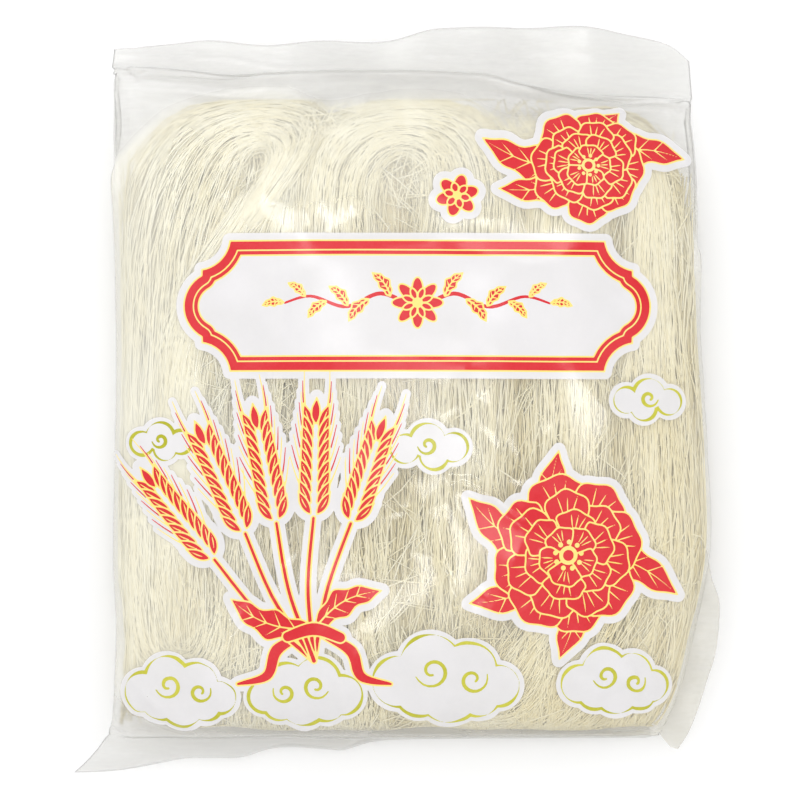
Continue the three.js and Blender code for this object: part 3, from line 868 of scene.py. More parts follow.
def packed_core():
    """The noodles deep inside, as one smooth body. It ends short of the hanks' round turns at the head."""
    core = body_rings(CONTENTS_ROWS, CORE_GAP)
    core[..., 0] *= 1 - CORE_NARROWED * unit((core[..., 1] - CORE_HEAD) / CORE_HEAD_LENGTH) ** 2
    core[..., 1] -= CORE_SHORTENED * np.maximum(core[..., 1] - CORE_HEAD, 0)
    return mesh_object("noodle_core", core.reshape(-1, 3), tube_faces(len(core), RING))


# ---------------------------------------------------------------- print
INKS = ("olive", "gold", "red")       # what lies on the white ink, later names over earlier ones
CELL = 0.3                            # spacing of the sheet on which the print is drawn
HALO = 2.6                            # white ink that shows round each motif
LINE = 0.62                           # width of the gold outline round red ink
MARGIN = 2.0                          # how far beyond a motif its distance is worked out
FAR = 99.0                            # distance to an ink that isn't there
SHEET_LEFT, SHEET_RIGHT = -117.0, 122.0
sheet_x, sheet_y = np.arange(SHEET_LEFT, SHEET_RIGHT, CELL), np.arange(FOOT_Y, CREASE_Y, CELL)
ink_field = {name: np.full((len(sheet_y), len(sheet_x)), FAR) for name in INKS + ("cover",)}


def patch(points, margin):
    """The part of the sheet round some points: its rows, its columns, and the x and y of its places."""
    low, high = np.min(points, axis=0) - margin, np.max(points, axis=0) + margin
    columns = slice(*np.searchsorted(sheet_x, (low[0], high[0])))
    rows = slice(*np.searchsorted(sheet_y, (low[1], high[1])))
    return rows, columns, *np.meshgrid(sheet_x[columns], sheet_y[rows])


def outline_distance(x, y, points):
    """Distance to a closed outline, less than 0 inside it."""
    a, b = points, np.roll(points, -1, axis=0)
    far = to_segments(x, y, a, b)[0].min(axis=-1)
    ay, by = a[:, 1], b[:, 1]
    crosses = (ay > y[..., None]) != (by > y[..., None])
    slope = (b[:, 0] - a[:, 0]) / np.where(np.abs(by - ay) < TINY, TINY, by - ay)
    inside = (crosses & (x[..., None] < a[:, 0] + (y[..., None] - ay) * slope)).sum(axis=-1) % 2 == 1
    return np.where(inside, -far, far)


def ink(name, rows, columns, distance):
    """Prints an ink where distance is under 0, over what is there."""
    for other in INKS:
        field = ink_field[other][rows, columns]
        field[:] = np.minimum(field, distance) if other == name else np.maximum(field, -distance)


def white_under(rows, columns, distance, halo=HALO):
    """Prints white up to halo beyond a shape."""
    cover = ink_field["cover"][rows, columns]
    cover[:] = np.minimum(cover, distance - halo)


def bare(rows, columns, distance):
    """Takes away the inks on the white where distance is under 0."""
    for name in INKS:
        field = ink_field[name][rows, columns]
        field[:] = np.maximum(field, -distance)


def closed_curve(points, count):
    """A smooth closed outline through points, with count pieces between each two."""
    points = np.array(points, float)
    t = (np.arange(count) / count)[:, None]
    out = []
    for i in range(len(points)):
        out.append(through_four(*(points[(i + k) % len(points)] for k in (-1, 0, 1, 2)), t))
    return np.concatenate(out)


def placed(points, at, turn):
    """Points of a motif turned by degrees and moved to its place."""
    c, s = towards(turn)
    x, y = np.asarray(points, float).T
    return np.stack([x * c - y * s, x * s + y * c], axis=1) + at


def filled(points):
    """A shape of red ink with a gold outline, and white under both."""
    rows, columns, x, y = patch(points, HALO + MARGIN)
    distance = outline_distance(x, y, points)
    white_under(rows, columns, distance)
    ink("gold", rows, columns, distance)
    ink("red", rows, columns, distance + LINE)


def stroke(points, widths, name, count, halo=HALO, edge=None):
    """A brush stroke along a smooth line of count points. widths are at its ends and between, evenly."""
    line = rail(points, count)
    width = np.interp(np.linspace(0, 1, count), np.linspace(0, 1, len(widths)), widths)
    rows, columns, x, y = patch(line, halo + max(widths))
    far, t = to_segments(x, y, line[:-1], line[1:])
    distance = (far - (width[:-1] + t * (width[1:] - width[:-1])) / 2).min(axis=-1)
    if halo:
        white_under(rows, columns, distance, halo)
    if edge:
        ink(edge, rows, columns, distance - LINE)
    ink(name, rows, columns, distance)


def disc(at, radius, name):
    rows, columns, x, y = patch(np.array([at]), radius + MARGIN)
    ink(name, rows, columns, np.hypot(x - at[0], y - at[1]) - radius)


PETAL_POINTS, PETAL_RUFFLES = 44, 6


def petal(length, width, ruffle, phase):
    """A ruffled petal that points along +X from its root."""
    turn = np.linspace(-np.pi, np.pi, PETAL_POINTS, endpoint=False)
    wave = 1 + ruffle * np.cos(PETAL_RUFFLES * turn + phase) * unit(np.cos(turn / 2) * 1.5 - 0.3)
    narrow = 0.55 + 0.45 * unit((np.cos(turn) + 1) * 0.9)
    along = length * (0.52 + 0.48 * np.cos(turn) * wave)
    return np.stack([along, 0.5 * width * np.sin(turn) * narrow * wave], axis=1)


# A bloom's rings of petals: how many, how far they reach, how wide they are and where they start.
BLOOM_RINGS = ((8, 1.0, 0.78, 0.3), (7, 0.8, 0.66, 0.2), (6, 0.6, 0.56, 0.12), (5, 0.4, 0.42, 0.04))
PETAL_RUFFLE = 0.055
PETAL_TURN_PLAY, PETAL_LONG_PLAY, PETAL_WIDE_PLAY = 7, (0.93, 1.07), (0.9, 1.1)
VEIN_LEANS = (-0.3, 0.0, 0.3)
# A bloom's heart: a gold disc with a red one on it, and small gold ones round it, as shares of its radius.
HEART, HEART_RED, SEEDS, SEED, SEEDS_OUT = 0.12, 0.07, 9, 0.032, 0.17


def bloom(at, radius, turn, seed):
    """A round many-petalled flower, drawn from its outer petals in."""
    random = np.random.default_rng(seed)
    for count, reach, wide, root in BLOOM_RINGS:
        for i in random.permutation(count):
            angle = turn + 360 * i / count + random.uniform(-PETAL_TURN_PLAY, PETAL_TURN_PLAY)
            long = radius * (reach - root) * random.uniform(*PETAL_LONG_PLAY)
            broad = radius * wide * random.uniform(*PETAL_WIDE_PLAY)
            shape = petal(long, broad, PETAL_RUFFLE, random.uniform(0, 6))
            start = at + radius * root * towards(angle)
            filled(placed(shape, start, angle))
            for lean in VEIN_LEANS:
                vein = long * np.array([(0.45, 0.25 * lean), (0.68, 0.5 * lean), (0.86, 0.72 * lean)])
                stroke(placed(vein, start, angle), (0.2, 0.5, 0.15), "gold", 8, halo=0)
        turn += 180 / count + 11
    disc(at, radius * HEART, "gold")
    for i in range(SEEDS):
        disc(at + radius * SEEDS_OUT * towards(turn + 360 / SEEDS * i), radius * SEED, "gold")
    disc(at, radius * HEART_RED, "red")


LEAF_POINTS = 26
LEAF_VEINS = (5, 9, 13, 17)           # the points of the midrib at which side veins start


def leaf(at, turn, length, width, bend=0.12):
    """A lobed leaf with its midrib and side veins."""
    s = np.linspace(0, 1, LEAF_POINTS)
    half = width * 0.5 * np.sin(np.pi * s) ** 0.75 * (1 - 0.28 * s) * (1 + 0.16 * np.sin(6 * np.pi * s - 0.8))
    rib = np.stack([length * s, bend * length * np.sin(np.pi * s)], axis=1)
    sides = np.stack([0 * s, half], axis=1)
    shape = np.concatenate([rib + sides, (rib - sides)[::-1][1:-1]])
    filled(placed(shape, at, turn))
    stroke(placed(rib[1:-2], at, turn), (0.75, 0.5, 0.2), "gold", 12, halo=0)
    for i in LEAF_VEINS:
        for side in (-1, 1):
            out = half[i + 2] * 0.8 * side
            vein = [rib[i], rib[i] + (length * 0.07, out * 0.55), rib[i] + (length * 0.13, out)]
            stroke(placed(vein, at, turn), (0.5, 0.35, 0.15), "gold", 6, halo=0)


GRAINS = 9                            # pairs of grains in an ear of wheat
GRAIN = closed_curve([(0, 0), (2.6, 1.9), (6.2, 2.0), (9.4, 0.6), (10.6, 0), (9.4, -0.7), (6.2, -1.7),
                      (2.6, -1.5)], 4)


def ear_of_wheat(foot, neck, tip):
    """An ear of wheat on its stalk. The stalk runs from foot to neck, and the ear from neck to tip."""
    foot, neck, tip = (np.array(p, float) for p in (foot, neck, tip))
    bend = (foot + neck) / 2 + (neck - foot)[::-1] * (-0.04, 0.04)
    stroke([foot, bend, neck], (1.5, 1.2, 1.0), "red", 14, edge="gold")
    way = tip - neck
    turn = math.degrees(math.atan2(way[1], way[0]))
    places = []
    for i in range(GRAINS):
        root = neck + way * (0.03 + 0.83 * i / (GRAINS - 1))
        places += [(i, side, root + side * towards(turn + 90)) for side in (-1, 1)]
    for i, side, root in places:
        awn = [(8, side * 3.2), (15, side * (6.2 - 0.3 * i)), (22, side * (8.6 - 0.6 * i))]
        stroke(placed(awn, root, turn), (0.75, 0.5, 0.3), "red" if i % 2 else "gold", 8, halo=1.6)
    for i, side, root in reversed(places):
        lean = turn + side * (30 - 8 * i / GRAINS)
        filled(placed(GRAIN * (1, side), root, lean))
        seam = np.array([(3, 0.2 * side), (5.5, 0.35 * side), (8, 0.1 * side)])
        stroke(placed(seam, root, lean), (0.2, 0.45, 0.15), "gold", 5, halo=0)
    filled(placed(GRAIN, neck + way * 0.9, turn))


CLOUD_RIM = 0.6                       # how far a cloud's brushed outline reaches beyond it
CURL_POINTS, CURL_END = 16, 0.22      # a curl ends at this share of its radius


def cloud(at, size, lobes, curls, flip):
    """A white cloud with a brushed outline. lobes are (x, y, radius), curls (x, y, radius, start, turns), and
    flip is -1 for one that is mirrored."""
    at = np.array(at, float)
    rounds = [(at[0] + flip * size * x, at[1] + size * y, size * r) for x, y, r in lobes]
    box = np.array([(x + k * r, y + k * r) for x, y, r in rounds for k in (-1, 1)])
    rows, columns, x, y = patch(box, HALO + MARGIN)
    distance = np.full(x.shape, FAR)
    for cx, cy, r in rounds:
        distance = np.minimum(distance, np.hypot(x - cx, y - cy) - r)
    white_under(rows, columns, distance, HALO - CLOUD_RIM)
    bare(rows, columns, distance - CLOUD_RIM)
    brush = 0.42 + 0.3 * np.sin(x * 0.33 + y * 0.21 + at[0])
    ink("olive", rows, columns, np.abs(distance) - brush)
    for cx, cy, r, start, turns in curls:
        way = np.radians(start) + np.linspace(0, 2 * np.pi * turns, CURL_POINTS)
        far = size * r * np.linspace(1, CURL_END, CURL_POINTS)
        line = at + np.stack([flip * (size * cx + far * np.cos(way)), size * cy + far * np.sin(way)], axis=1)
        stroke(line, (0.5, 1.5, 1.3, 0.9), "olive", 24, halo=0)


ARC_POINTS = 10
# The plaque's border: how far inside its outline each ink starts.
BORDER = ((0.0, "gold"), (LINE, "red"), (3.7, "gold"), (4.25, "red"), (5.6, "gold"))


def arc(at, radius, start, finish):
    turn = np.radians(np.linspace(start, finish, ARC_POINTS))
    return np.array(at) + radius * np.stack([np.cos(turn), np.sin(turn)], axis=1)


def plaque(at, half_width, half_height):
    """The bare label panel in its frame: a long panel with a lobe at each end and hollow corners."""
    hollow = arc((half_width + 1.5, half_height + 1.5), 12.5, 187, 263)
    lobe = arc((half_width - 6.5, 0), 13.5, 61, 0)
    quarter = np.concatenate([[(0, half_height)], hollow, lobe])
    half = np.concatenate([quarter, (quarter * (1, -1))[::-1][1:]])
    points = np.concatenate([half, (half * (-1, 1))[::-1][1:-1]]) + at
    rows, columns, x, y = patch(points, HALO + MARGIN)
    distance = outline_distance(x, y, points)
    white_under(rows, columns, distance)
    for inset, name in BORDER:
        ink(name, rows, columns, distance + inset)
    bare(rows, columns, distance + BORDER[-1][0] + LINE)


TWIG = np.array([(3, -1), (14, 3.5), (27, -1.5), (40, 2.5), (50, 0)])
# The twig's leaves: x, y, the way they point in degrees and their length.
TWIG_LEAVES = ((10, 2.2, 52, 12), (18, 1.6, -48, 12), (26, -1.4, 46, 11), (34, 0.8, -42, 10),
               (42, 2.2, 38, 9), (50, 0.2, -8, 9))


def spray(at, way):
    """A curling twig with leaves, to the left or right of a place."""
    at = np.array(at, float)
    stroke(at + TWIG * (way, 1), (1.7, 1.5, 1.2, 0.8), "red", 30, halo=0)
    for x, y, turn, long in TWIG_LEAVES:
        leaf(at + (way * x, y), turn if way > 0 else 180 - turn, long, long * 0.46, 0.1 * way)


def rosette(at, radius, petals, turn=0.0):
    """A flat round flower with plain petals, one ring on another."""
    for reach, shift in ((1.0, 0.0), (0.62, 0.5)):
        for i in range(petals):
            angle = turn + 360 * (i + shift) / petals
            shape = petal(radius * reach, radius * reach * 2.6 / petals * 1.5, 0.0, 0.0)
            filled(placed(shape, at, angle))
    disc(at, radius * 0.2, "gold")


def draw_print():
    """The whole design: a bare plaque, flowers, ears of wheat and clouds."""
    puff = [(-1.0, 0.0, 0.62), (-0.25, 0.42, 0.72), (0.65, 0.3, 0.66), (1.35, -0.1, 0.5), (0.2, -0.25, 0.75),
            (-0.5, -0.25, 0.6), (0.9, -0.35, 0.5)]
    curls = [(-0.2, 0.25, 0.42, 200, 1.2), (0.75, 0.05, 0.36, 20, -1.15)]
    small = [(-0.8, 0.0, 0.45), (-0.1, 0.25, 0.55), (0.7, 0.05, 0.45), (0.1, -0.2, 0.45)]
    small_curl = [(-0.1, 0.12, 0.32, 190, 1.1)]
    for at, size, flip in (((-87, -117), 12.5, 1), ((-36, -117), 12.5, -1), ((14, -112), 16, 1),
                           ((79, -113), 12, 1)):
        cloud(at, size, puff, curls, flip)
    for at, size, flip in (((10, -24), 12, 1), ((92, -6), 11, -1), ((-92, -22), 10, 1)):
        cloud(at, size, small, small_curl, flip)
    for way in (-1, 1):
        tail = np.array([(3, 10), (14, 4), (18, -6), (29, -9)]) * (way, 1) + (-34, -104)
        stroke(tail, (2.0, 4.2, 3.4, 0.8), "red", 36, edge="gold")
    for neck, tip in (((-72, -66), (-97, -36)), ((-20, -52), (-9, -18)), ((-60, -56), (-77, -19)),
                      ((-34, -50), (-33, -11)), ((-48, -52), (-56, -13))):
        ear_of_wheat((-34, -104), neck, tip)
    plaque((5, 30), 82, 25)
    spray((5, 31), 1)
    spray((5, 31), -1)
    rosette((5, 31), 10, 8)
    leaf((-34, -92), 160, 34, 13)
    leaf((-34, -92), 30, 30, 12)
    stroke([(-44, -95), (-34, -92), (-24, -95)], (3.6, 4.6, 3.6), "red", 14, edge="gold")
    for turn, length, width in ((150, 44, 18), (205, 42, 17), (-20, 46, 17), (95, 40, 16), (265, 40, 16)):
        leaf((62, -64), turn, length, width)
    bloom((62, -64), 30, 10, 3)
    for turn, length, width in ((165, 42, 16), (195, 36, 14), (5, 38, 15), (60, 26, 12)):
        leaf((70, 84), turn, length, width)
    bloom((70, 84), 22, 40, 5)
    rosette((20, 72), 8.5, 6, 15)


def contour_lines(field):
    """Where a field of the sheet passes 0: points, and pairs of their numbers."""
    count_x = field.shape[1]
    inside = field < 0

    def crossing(flat_a, flat_b):
        a, b = field.ravel()[flat_a], field.ravel()[flat_b]
        t = np.round(np.clip(a / (a - b), 0.06, 0.94) * 64) / 64
        xa, ya = sheet_x[flat_a % count_x], sheet_y[flat_a // count_x]
        xb, yb = sheet_x[flat_b % count_x], sheet_y[flat_b // count_x]
        return np.stack([xa + t * (xb - xa), ya + t * (yb - ya)], axis=1)

    flat = np.arange(field.size).reshape(field.shape)
    corners = [flat[:-1, :-1].ravel(), flat[:-1, 1:].ravel(), flat[1:, 1:].ravel(), flat[1:, :-1].ravel()]
    code = sum(inside.ravel()[c].astype(int) << i for i, c in enumerate(corners))
    edges = ((0, 1), (1, 2), (2, 3), (3, 0))
    table = {1: [(3, 0)], 2: [(0, 1)], 3: [(3, 1)], 4: [(1, 2)], 5: [(3, 0), (1, 2)], 6: [(0, 2)],
             7: [(3, 2)], 8: [(2, 3)], 9: [(2, 0)], 10: [(0, 1), (2, 3)], 11: [(2, 1)], 12: [(1, 3)],
             13: [(1, 0)], 14: [(0, 3)]}
    ends = []
    for value, pairs in table.items():
        cells = np.nonzero(code == value)[0]
        for pair in pairs:
            both = []
            for edge in pair:
                a, b = corners[edges[edge][0]][cells], corners[edges[edge][1]][cells]
                both.append(crossing(np.minimum(a, b), np.maximum(a, b)))
            ends.append(np.stack(both, axis=1))
    return np.concatenate(ends)


def simplified(points, tolerance):
    """Which points of a chain are enough to stay within tolerance of it."""
    keep = np.zeros(len(points), bool)
    keep[[0, -1]] = True
    todo = [(0, len(points) - 1)]
    while todo:
        a, b = todo.pop()
        if b - a < 2:
            continue
        way = points[b] - points[a]
        long = np.hypot(*way)
        x, y = (points[a + 1:b] - points[a]).T
        far = np.abs(x * way[1] - y * way[0]) / long if long > TINY else np.hypot(x, y)
        worst = int(far.argmax())
        if far[worst] > tolerance:
            keep[a + 1 + worst] = True
            todo += [(a, a + 1 + worst), (a + 1 + worst, b)]
    return keep


LONGEST = 7                           # at most so many cells between two points of an edge
SNAP = 4096                           # points of edges are one when they are this part of a millimetre apart
TOLERANCE = 0.045                     # how far an edge may lie from where it was drawn


def print_edges():
    """The edges of all inks as one net of points and pairs, without needless points."""
    ends = np.concatenate([contour_lines(ink_field[name]) for name in INKS + ("cover",)])
    keys = np.round(ends.reshape(-1, 2) * SNAP).astype(np.int64)
    _, first, number = np.unique(keys, axis=0, return_index=True, return_inverse=True)
    points, pairs = ends.reshape(-1, 2)[first], number.reshape(-1, 2)
    pairs = np.unique(np.sort(pairs[pairs[:, 0] != pairs[:, 1]], axis=1), axis=0)
    near = [[] for _ in points]
    for a, b in pairs.tolist():
        near[a].append(b)
        near[b].append(a)
    done, kept_points, kept_pairs, new_number = set(), [], [], {}

    def number_of(i):
        if i not in new_number:
            new_number[i] = len(kept_points)
            kept_points.append(points[i])
        return new_number[i]

    starts = [i for i in range(len(points)) if len(near[i]) != 2] + list(range(len(points)))
    for start in starts:
        for step in near[start]:
            if (start, step) in done:
                continue
            chain = [start, step]
            done.update(((start, step), (step, start)))
            while len(near[chain[-1]]) == 2 and chain[-1] != start:
                a, b = near[chain[-1]]
                onward = b if a == chain[-2] else a
                done.update(((chain[-1], onward), (onward, chain[-1])))
                chain.append(onward)
            keep = simplified(points[chain], TOLERANCE)
            keep[::LONGEST] = True
            if chain[0] == chain[-1] and keep.sum() < 4:
                keep[[len(chain) // 3, 2 * len(chain) // 3]] = True
            left = [chain[i] for i in np.nonzero(keep)[0]]
            kept_pairs += [(number_of(a), number_of(b)) for a, b in zip(left, left[1:])]
    return np.array(kept_points), kept_pairs


def ink_at(points):
    """Values of every ink's field at some places."""
    column = np.clip((points[:, 0] - sheet_x[0]) / CELL, 0, len(sheet_x) - ALMOST_ONE)
    row = np.clip((points[:, 1] - sheet_y[0]) / CELL, 0, len(sheet_y) - ALMOST_ONE)
    i, j = row.astype(int), column.astype(int)
    u, v = row - i, column - j
    return {name: between(field, i, j, u, v) for name, field in ink_field.items()}


INK_RISE = 0.24                       # how far the print lies outside the film's surface
SPACING, SPACING_PLAY = 1.35, 0.2     # of extra points, so the print bends with the film
FROM_EDGES, FROM_RIM = 0.55, 0.4      # how far they stay from edges, and from the white ink's rim
ALMOST_ONE = 1.001                    # keeps a place on a grid inside its last cell
TABLE_STEPS = 801                     # of a table of the film's columns by their share across


def print_meshes(flat_rows, rows):
    """One mesh for each colour of ink, carried from the flat sheet onto the film."""
    draw_print()
    points, pairs = print_edges()
    gx, gy = np.meshgrid(*(np.arange(at[0], at[-1], SPACING) for at in (sheet_x, sheet_y)))
    spare = np.stack([gx.ravel(), gy.ravel()], axis=1)
    spare = spare + rng.uniform(-SPACING_PLAY, SPACING_PLAY, spare.shape)
    fields = ink_at(spare)
    near = np.min([np.abs(field) for field in fields.values()], axis=0)
    spare = spare[(fields["cover"] < -FROM_RIM) & (near > FROM_EDGES)]
    every = np.concatenate([points, spare])
    places, _, faces, _, _, _ = delaunay_2d_cdt([Vector(p) for p in every], pairs, [], 0, 1e-4, False)
    places, faces = np.array(places), np.array(faces)
    a, b, c = (places[faces[:, i]] for i in range(3))
    turn = (b[:, 0] - a[:, 0]) * (c[:, 1] - a[:, 1]) - (b[:, 1] - a[:, 1]) * (c[:, 0] - a[:, 0])
    faces[turn < 0] = faces[turn < 0][:, ::-1]
    fields = ink_at((a + b + c) / 3)
    colour = np.where(fields["cover"] < 0, 1, 0)
    for number, name in enumerate(INKS, 2):
        colour[(colour > 0) & (fields[name] < 0)] = number
    surface = on_film(flat_rows, rows, places)
    pieces = {}
    for number, name in enumerate(("white",) + INKS, 1):
        own = faces[colour == number]
        used, index = np.unique(own, return_inverse=True)
        pieces[name] = mesh_object("print_" + name, surface[used], index.reshape(-1, 3))
    return pieces


def on_film(flat_rows, rows, places):
    """Where places of the flat sheet come to lie on the front of the settled film."""
    front = slice(0, rows.shape[1] // 2 + 1)
    body = slice(2 * FLAP_ROWS, 2 * (FLAP_ROWS + BODY_ROWS) + 1)
    flat, settled = flat_rows[body, front], (rows + INK_RISE * outward(rows))[body, front]
    y = flat[:, 20, 1]
    left, right = left_side(y)[:, None], right_side(y)[:, None]
    share = 2 * (flat[..., 0] - left) / (right - left) - 1
    steps = np.linspace(-1, 1, TABLE_STEPS)
    column_at = np.array([np.interp(steps, row, np.arange(len(row))) for row in share])
    px, py = places[:, 0], np.clip(places[:, 1], y[0], y[-1])
    row = np.clip(np.interp(py, y, np.arange(len(y))), 0, len(y) - ALMOST_ONE)
    t = 2 * (px - left_side(py)) / (right_side(py) - left_side(py)) - 1
    step = np.clip((t + 1) / 2 * (len(steps) - 1), 0, len(steps) - ALMOST_ONE)
    i, k = row.astype(int), step.astype(int)
    u, v = row - i, step - k
    column = np.clip(between(column_at, i, k, u, v), 0, settled.shape[1] - ALMOST_ONE)
    j = column.astype(int)
    return between(settled, i, j, u[:, None], (column - j)[:, None])


# ---------------------------------------------------------------- materials
def add(tree, kind, inputs=(), **settings):
    """A node with its settings, and values or other nodes' outputs on its inputs."""
    node = tree.nodes.new(kind)
    set_all(node, settings)
    for key, value in dict(inputs).items():
        if isinstance(value, bpy.types.NodeSocket):
            tree.links.new(value, node.inputs[key])
        else:
            node.inputs[key].default_value = value
    return node


def group(name, inputs, outputs):
    """An empty node group: its tree, its input node and its output node."""
    tree = bpy.data.node_groups.new(name, "ShaderNodeTree")
    for label, value in inputs.items():
        kind = {float: "NodeSocketFloat", tuple: "NodeSocketColor"}[type(value)]
        kind = "NodeSocketVector" if kind == "NodeSocketColor" and len(value) == 3 else kind
        tree.interface.new_socket(label, in_out="INPUT", socket_type=kind).default_value = value
    for label, kind in outputs.items():
        tree.interface.new_socket(label, in_out="OUTPUT", socket_type=kind)
    return tree, tree.nodes.new("NodeGroupInput"), tree.nodes.new("NodeGroupOutput")


def mapped(tree, value, low, high, to_low, to_high):
    inputs = {"Value": value, "From Min": low, "From Max": high, "To Min": to_low, "To Max": to_high}
    return add(tree, "ShaderNodeMapRange", inputs).outputs["Result"]


def blended(tree, share, a, b):
    return add(tree, "ShaderNodeMix", {0: share, 6: a, 7: b}, data_type="RGBA").outputs[2]


def math_node(tree, kind, *values):
    return add(tree, "ShaderNodeMath", dict(enumerate(values)), operation=kind).outputs[0]


def patches_node(tree, **inputs):
    """Soft patches in a material, with their inputs by name."""
    return add(tree, "ShaderNodeGroup", inputs, node_tree=patches).outputs["Patches"]


def place_node(tree):
    """Where a point of the bag lies, in metres."""
    return add(tree, "ShaderNodeSeparateXYZ", {0: add(tree, "ShaderNodeTexCoord").outputs["Object"]}).outputs


def own_value(tree, name):
    """A value that the mesh gives for each of its points."""
    return add(tree, "ShaderNodeAttribute", attribute_name=name, attribute_type="GEOMETRY").outputs["Fac"]


def patches_group():
    """Soft patches: a value from 0 to 1 that changes over the surface."""
    tree, given, result = group("soft patches", {"Scale": 20.0, "Stretch": (1.0, 1.0, 1.0), "Detail": 3.0,
                                                 "Soft": 0.3}, {"Patches": "NodeSocketFloat"})
    place = add(tree, "ShaderNodeTexCoord").outputs["Object"]
    place = add(tree, "ShaderNodeVectorMath", {0: place, 1: given.outputs["Stretch"]}, operation="MULTIPLY")
    noise = add(tree, "ShaderNodeTexNoise", {"Vector": place.outputs[0], "Scale": given.outputs["Scale"],
                                             "Detail": given.outputs["Detail"]})
    low = math_node(tree, "SUBTRACT", 0.5, given.outputs["Soft"])
    high = math_node(tree, "ADD", 0.5, given.outputs["Soft"])
    tree.links.new(mapped(tree, noise.outputs["Fac"], low, high, 0.0, 1.0), result.inputs["Patches"])
    return tree


def noodle_group():
    """Colour of dry wheat strands, which differ from one to the next and along their length, with painted
    shade: lighter towards the left, darker towards the right and the foot, and darker with the depth input.
    """
    inputs = {"Pale": (0.9, 0.86, 0.7, 1.0), "Tan": (0.7, 0.6, 0.4, 1.0), "Tone": 0.5, "Depth": 0.0}
    outputs = {"Colour": "NodeSocketColor", "Height": "NodeSocketFloat"}
    tree, given, result = group("wheat strand", inputs, outputs)
    large = patches_node(tree, Scale=9.0, Soft=0.22)
    along = patches_node(tree, Scale=60.0, Stretch=(1.6, 0.5, 1.0), Soft=0.2)
    fine = patches_node(tree, Scale=900.0, Stretch=(1.0, 0.25, 1.0), Soft=0.25)
    place = place_node(tree)
    # Painted shade: the strands turn lighter towards the left and darker towards the right and the foot.
    right = mapped(tree, place["X"], -0.11, 0.12, -0.22, 0.26)
    foot = mapped(tree, place["Y"], 0.06, -0.13, 0.0, 0.3)
    tone = math_node(tree, "MULTIPLY", given.outputs["Tone"], 0.75)
    for value, weight in ((large, 0.22), (along, 0.25), (fine, 0.14), (right, 1.0), (foot, 1.0),
                          (given.outputs["Depth"], 1.0)):
        tone = math_node(tree, "MULTIPLY_ADD", value, weight, tone)
    tone = mapped(tree, tone, 0.24, 1.3, 0.0, 1.0)
    tree.links.new(blended(tree, tone, given.outputs["Pale"], given.outputs["Tan"]), result.inputs["Colour"])
    tree.links.new(fine, result.inputs["Height"])
    return tree


def new_material(name):
    made = bpy.data.materials.new(name)
    made.use_nodes = True
    return made, made.node_tree, made.node_tree.nodes["Principled BSDF"]


def strand_skin(tree, skin, looks, rough, height, bump_looks):
    """Gives a material the colour of strands, and a bump from height or else from their own."""
    strand = add(tree, "ShaderNodeGroup", looks, node_tree=wheat).outputs
    height = strand["Height"] if height is None else height
    bump = add(tree, "ShaderNodeBump", {"Height": height, **bump_looks})
    tree.links.new(strand["Colour"], skin.inputs["Base Color"])
    tree.links.new(bump.outputs[0], skin.inputs["Normal"])
    skin.inputs["Roughness"].default_value = rough


def noodle_material():
    made, tree, skin = new_material("dry wheat noodle")
    looks = {"Pale": (0.985, 0.96, 0.81, 1), "Tan": (0.85, 0.75, 0.44, 1), "Tone": own_value(tree, "tone")}
    strand_skin(tree, skin, looks, 0.55, None, {"Strength": 0.25, "Distance": 0.0001})
    return made


def core_material():
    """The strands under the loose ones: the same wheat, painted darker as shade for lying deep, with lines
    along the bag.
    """
    made, tree, skin = new_material("packed noodles")
    lines = patches_node(tree, Scale=420.0, Stretch=(1.0, 0.045, 1.0), Detail=2.0, Soft=0.12)
    # The darker Pale and Tan and the added depth are painted shade for noodles that lie deep.
    looks = {"Pale": (0.96, 0.88, 0.59, 1), "Tan": (0.79, 0.66, 0.37, 1), "Tone": lines, "Depth": 0.2}
    strand_skin(tree, skin, looks, 0.65, lines, {"Strength": 0.6, "Distance": 0.0008})
    return made


def let_light_through(tree, share, passed):
    """A share that is smaller for light on its way to what lies under the surface."""
    ray = add(tree, "ShaderNodeLightPath").outputs["Is Shadow Ray"]
    return math_node(tree, "MULTIPLY", share, math_node(tree, "MULTIPLY_ADD", ray, -passed, 1.0))


FILM_PASSES, INK_PASSES = 0.97, 0.6   # how much of the light gets through to what lies below


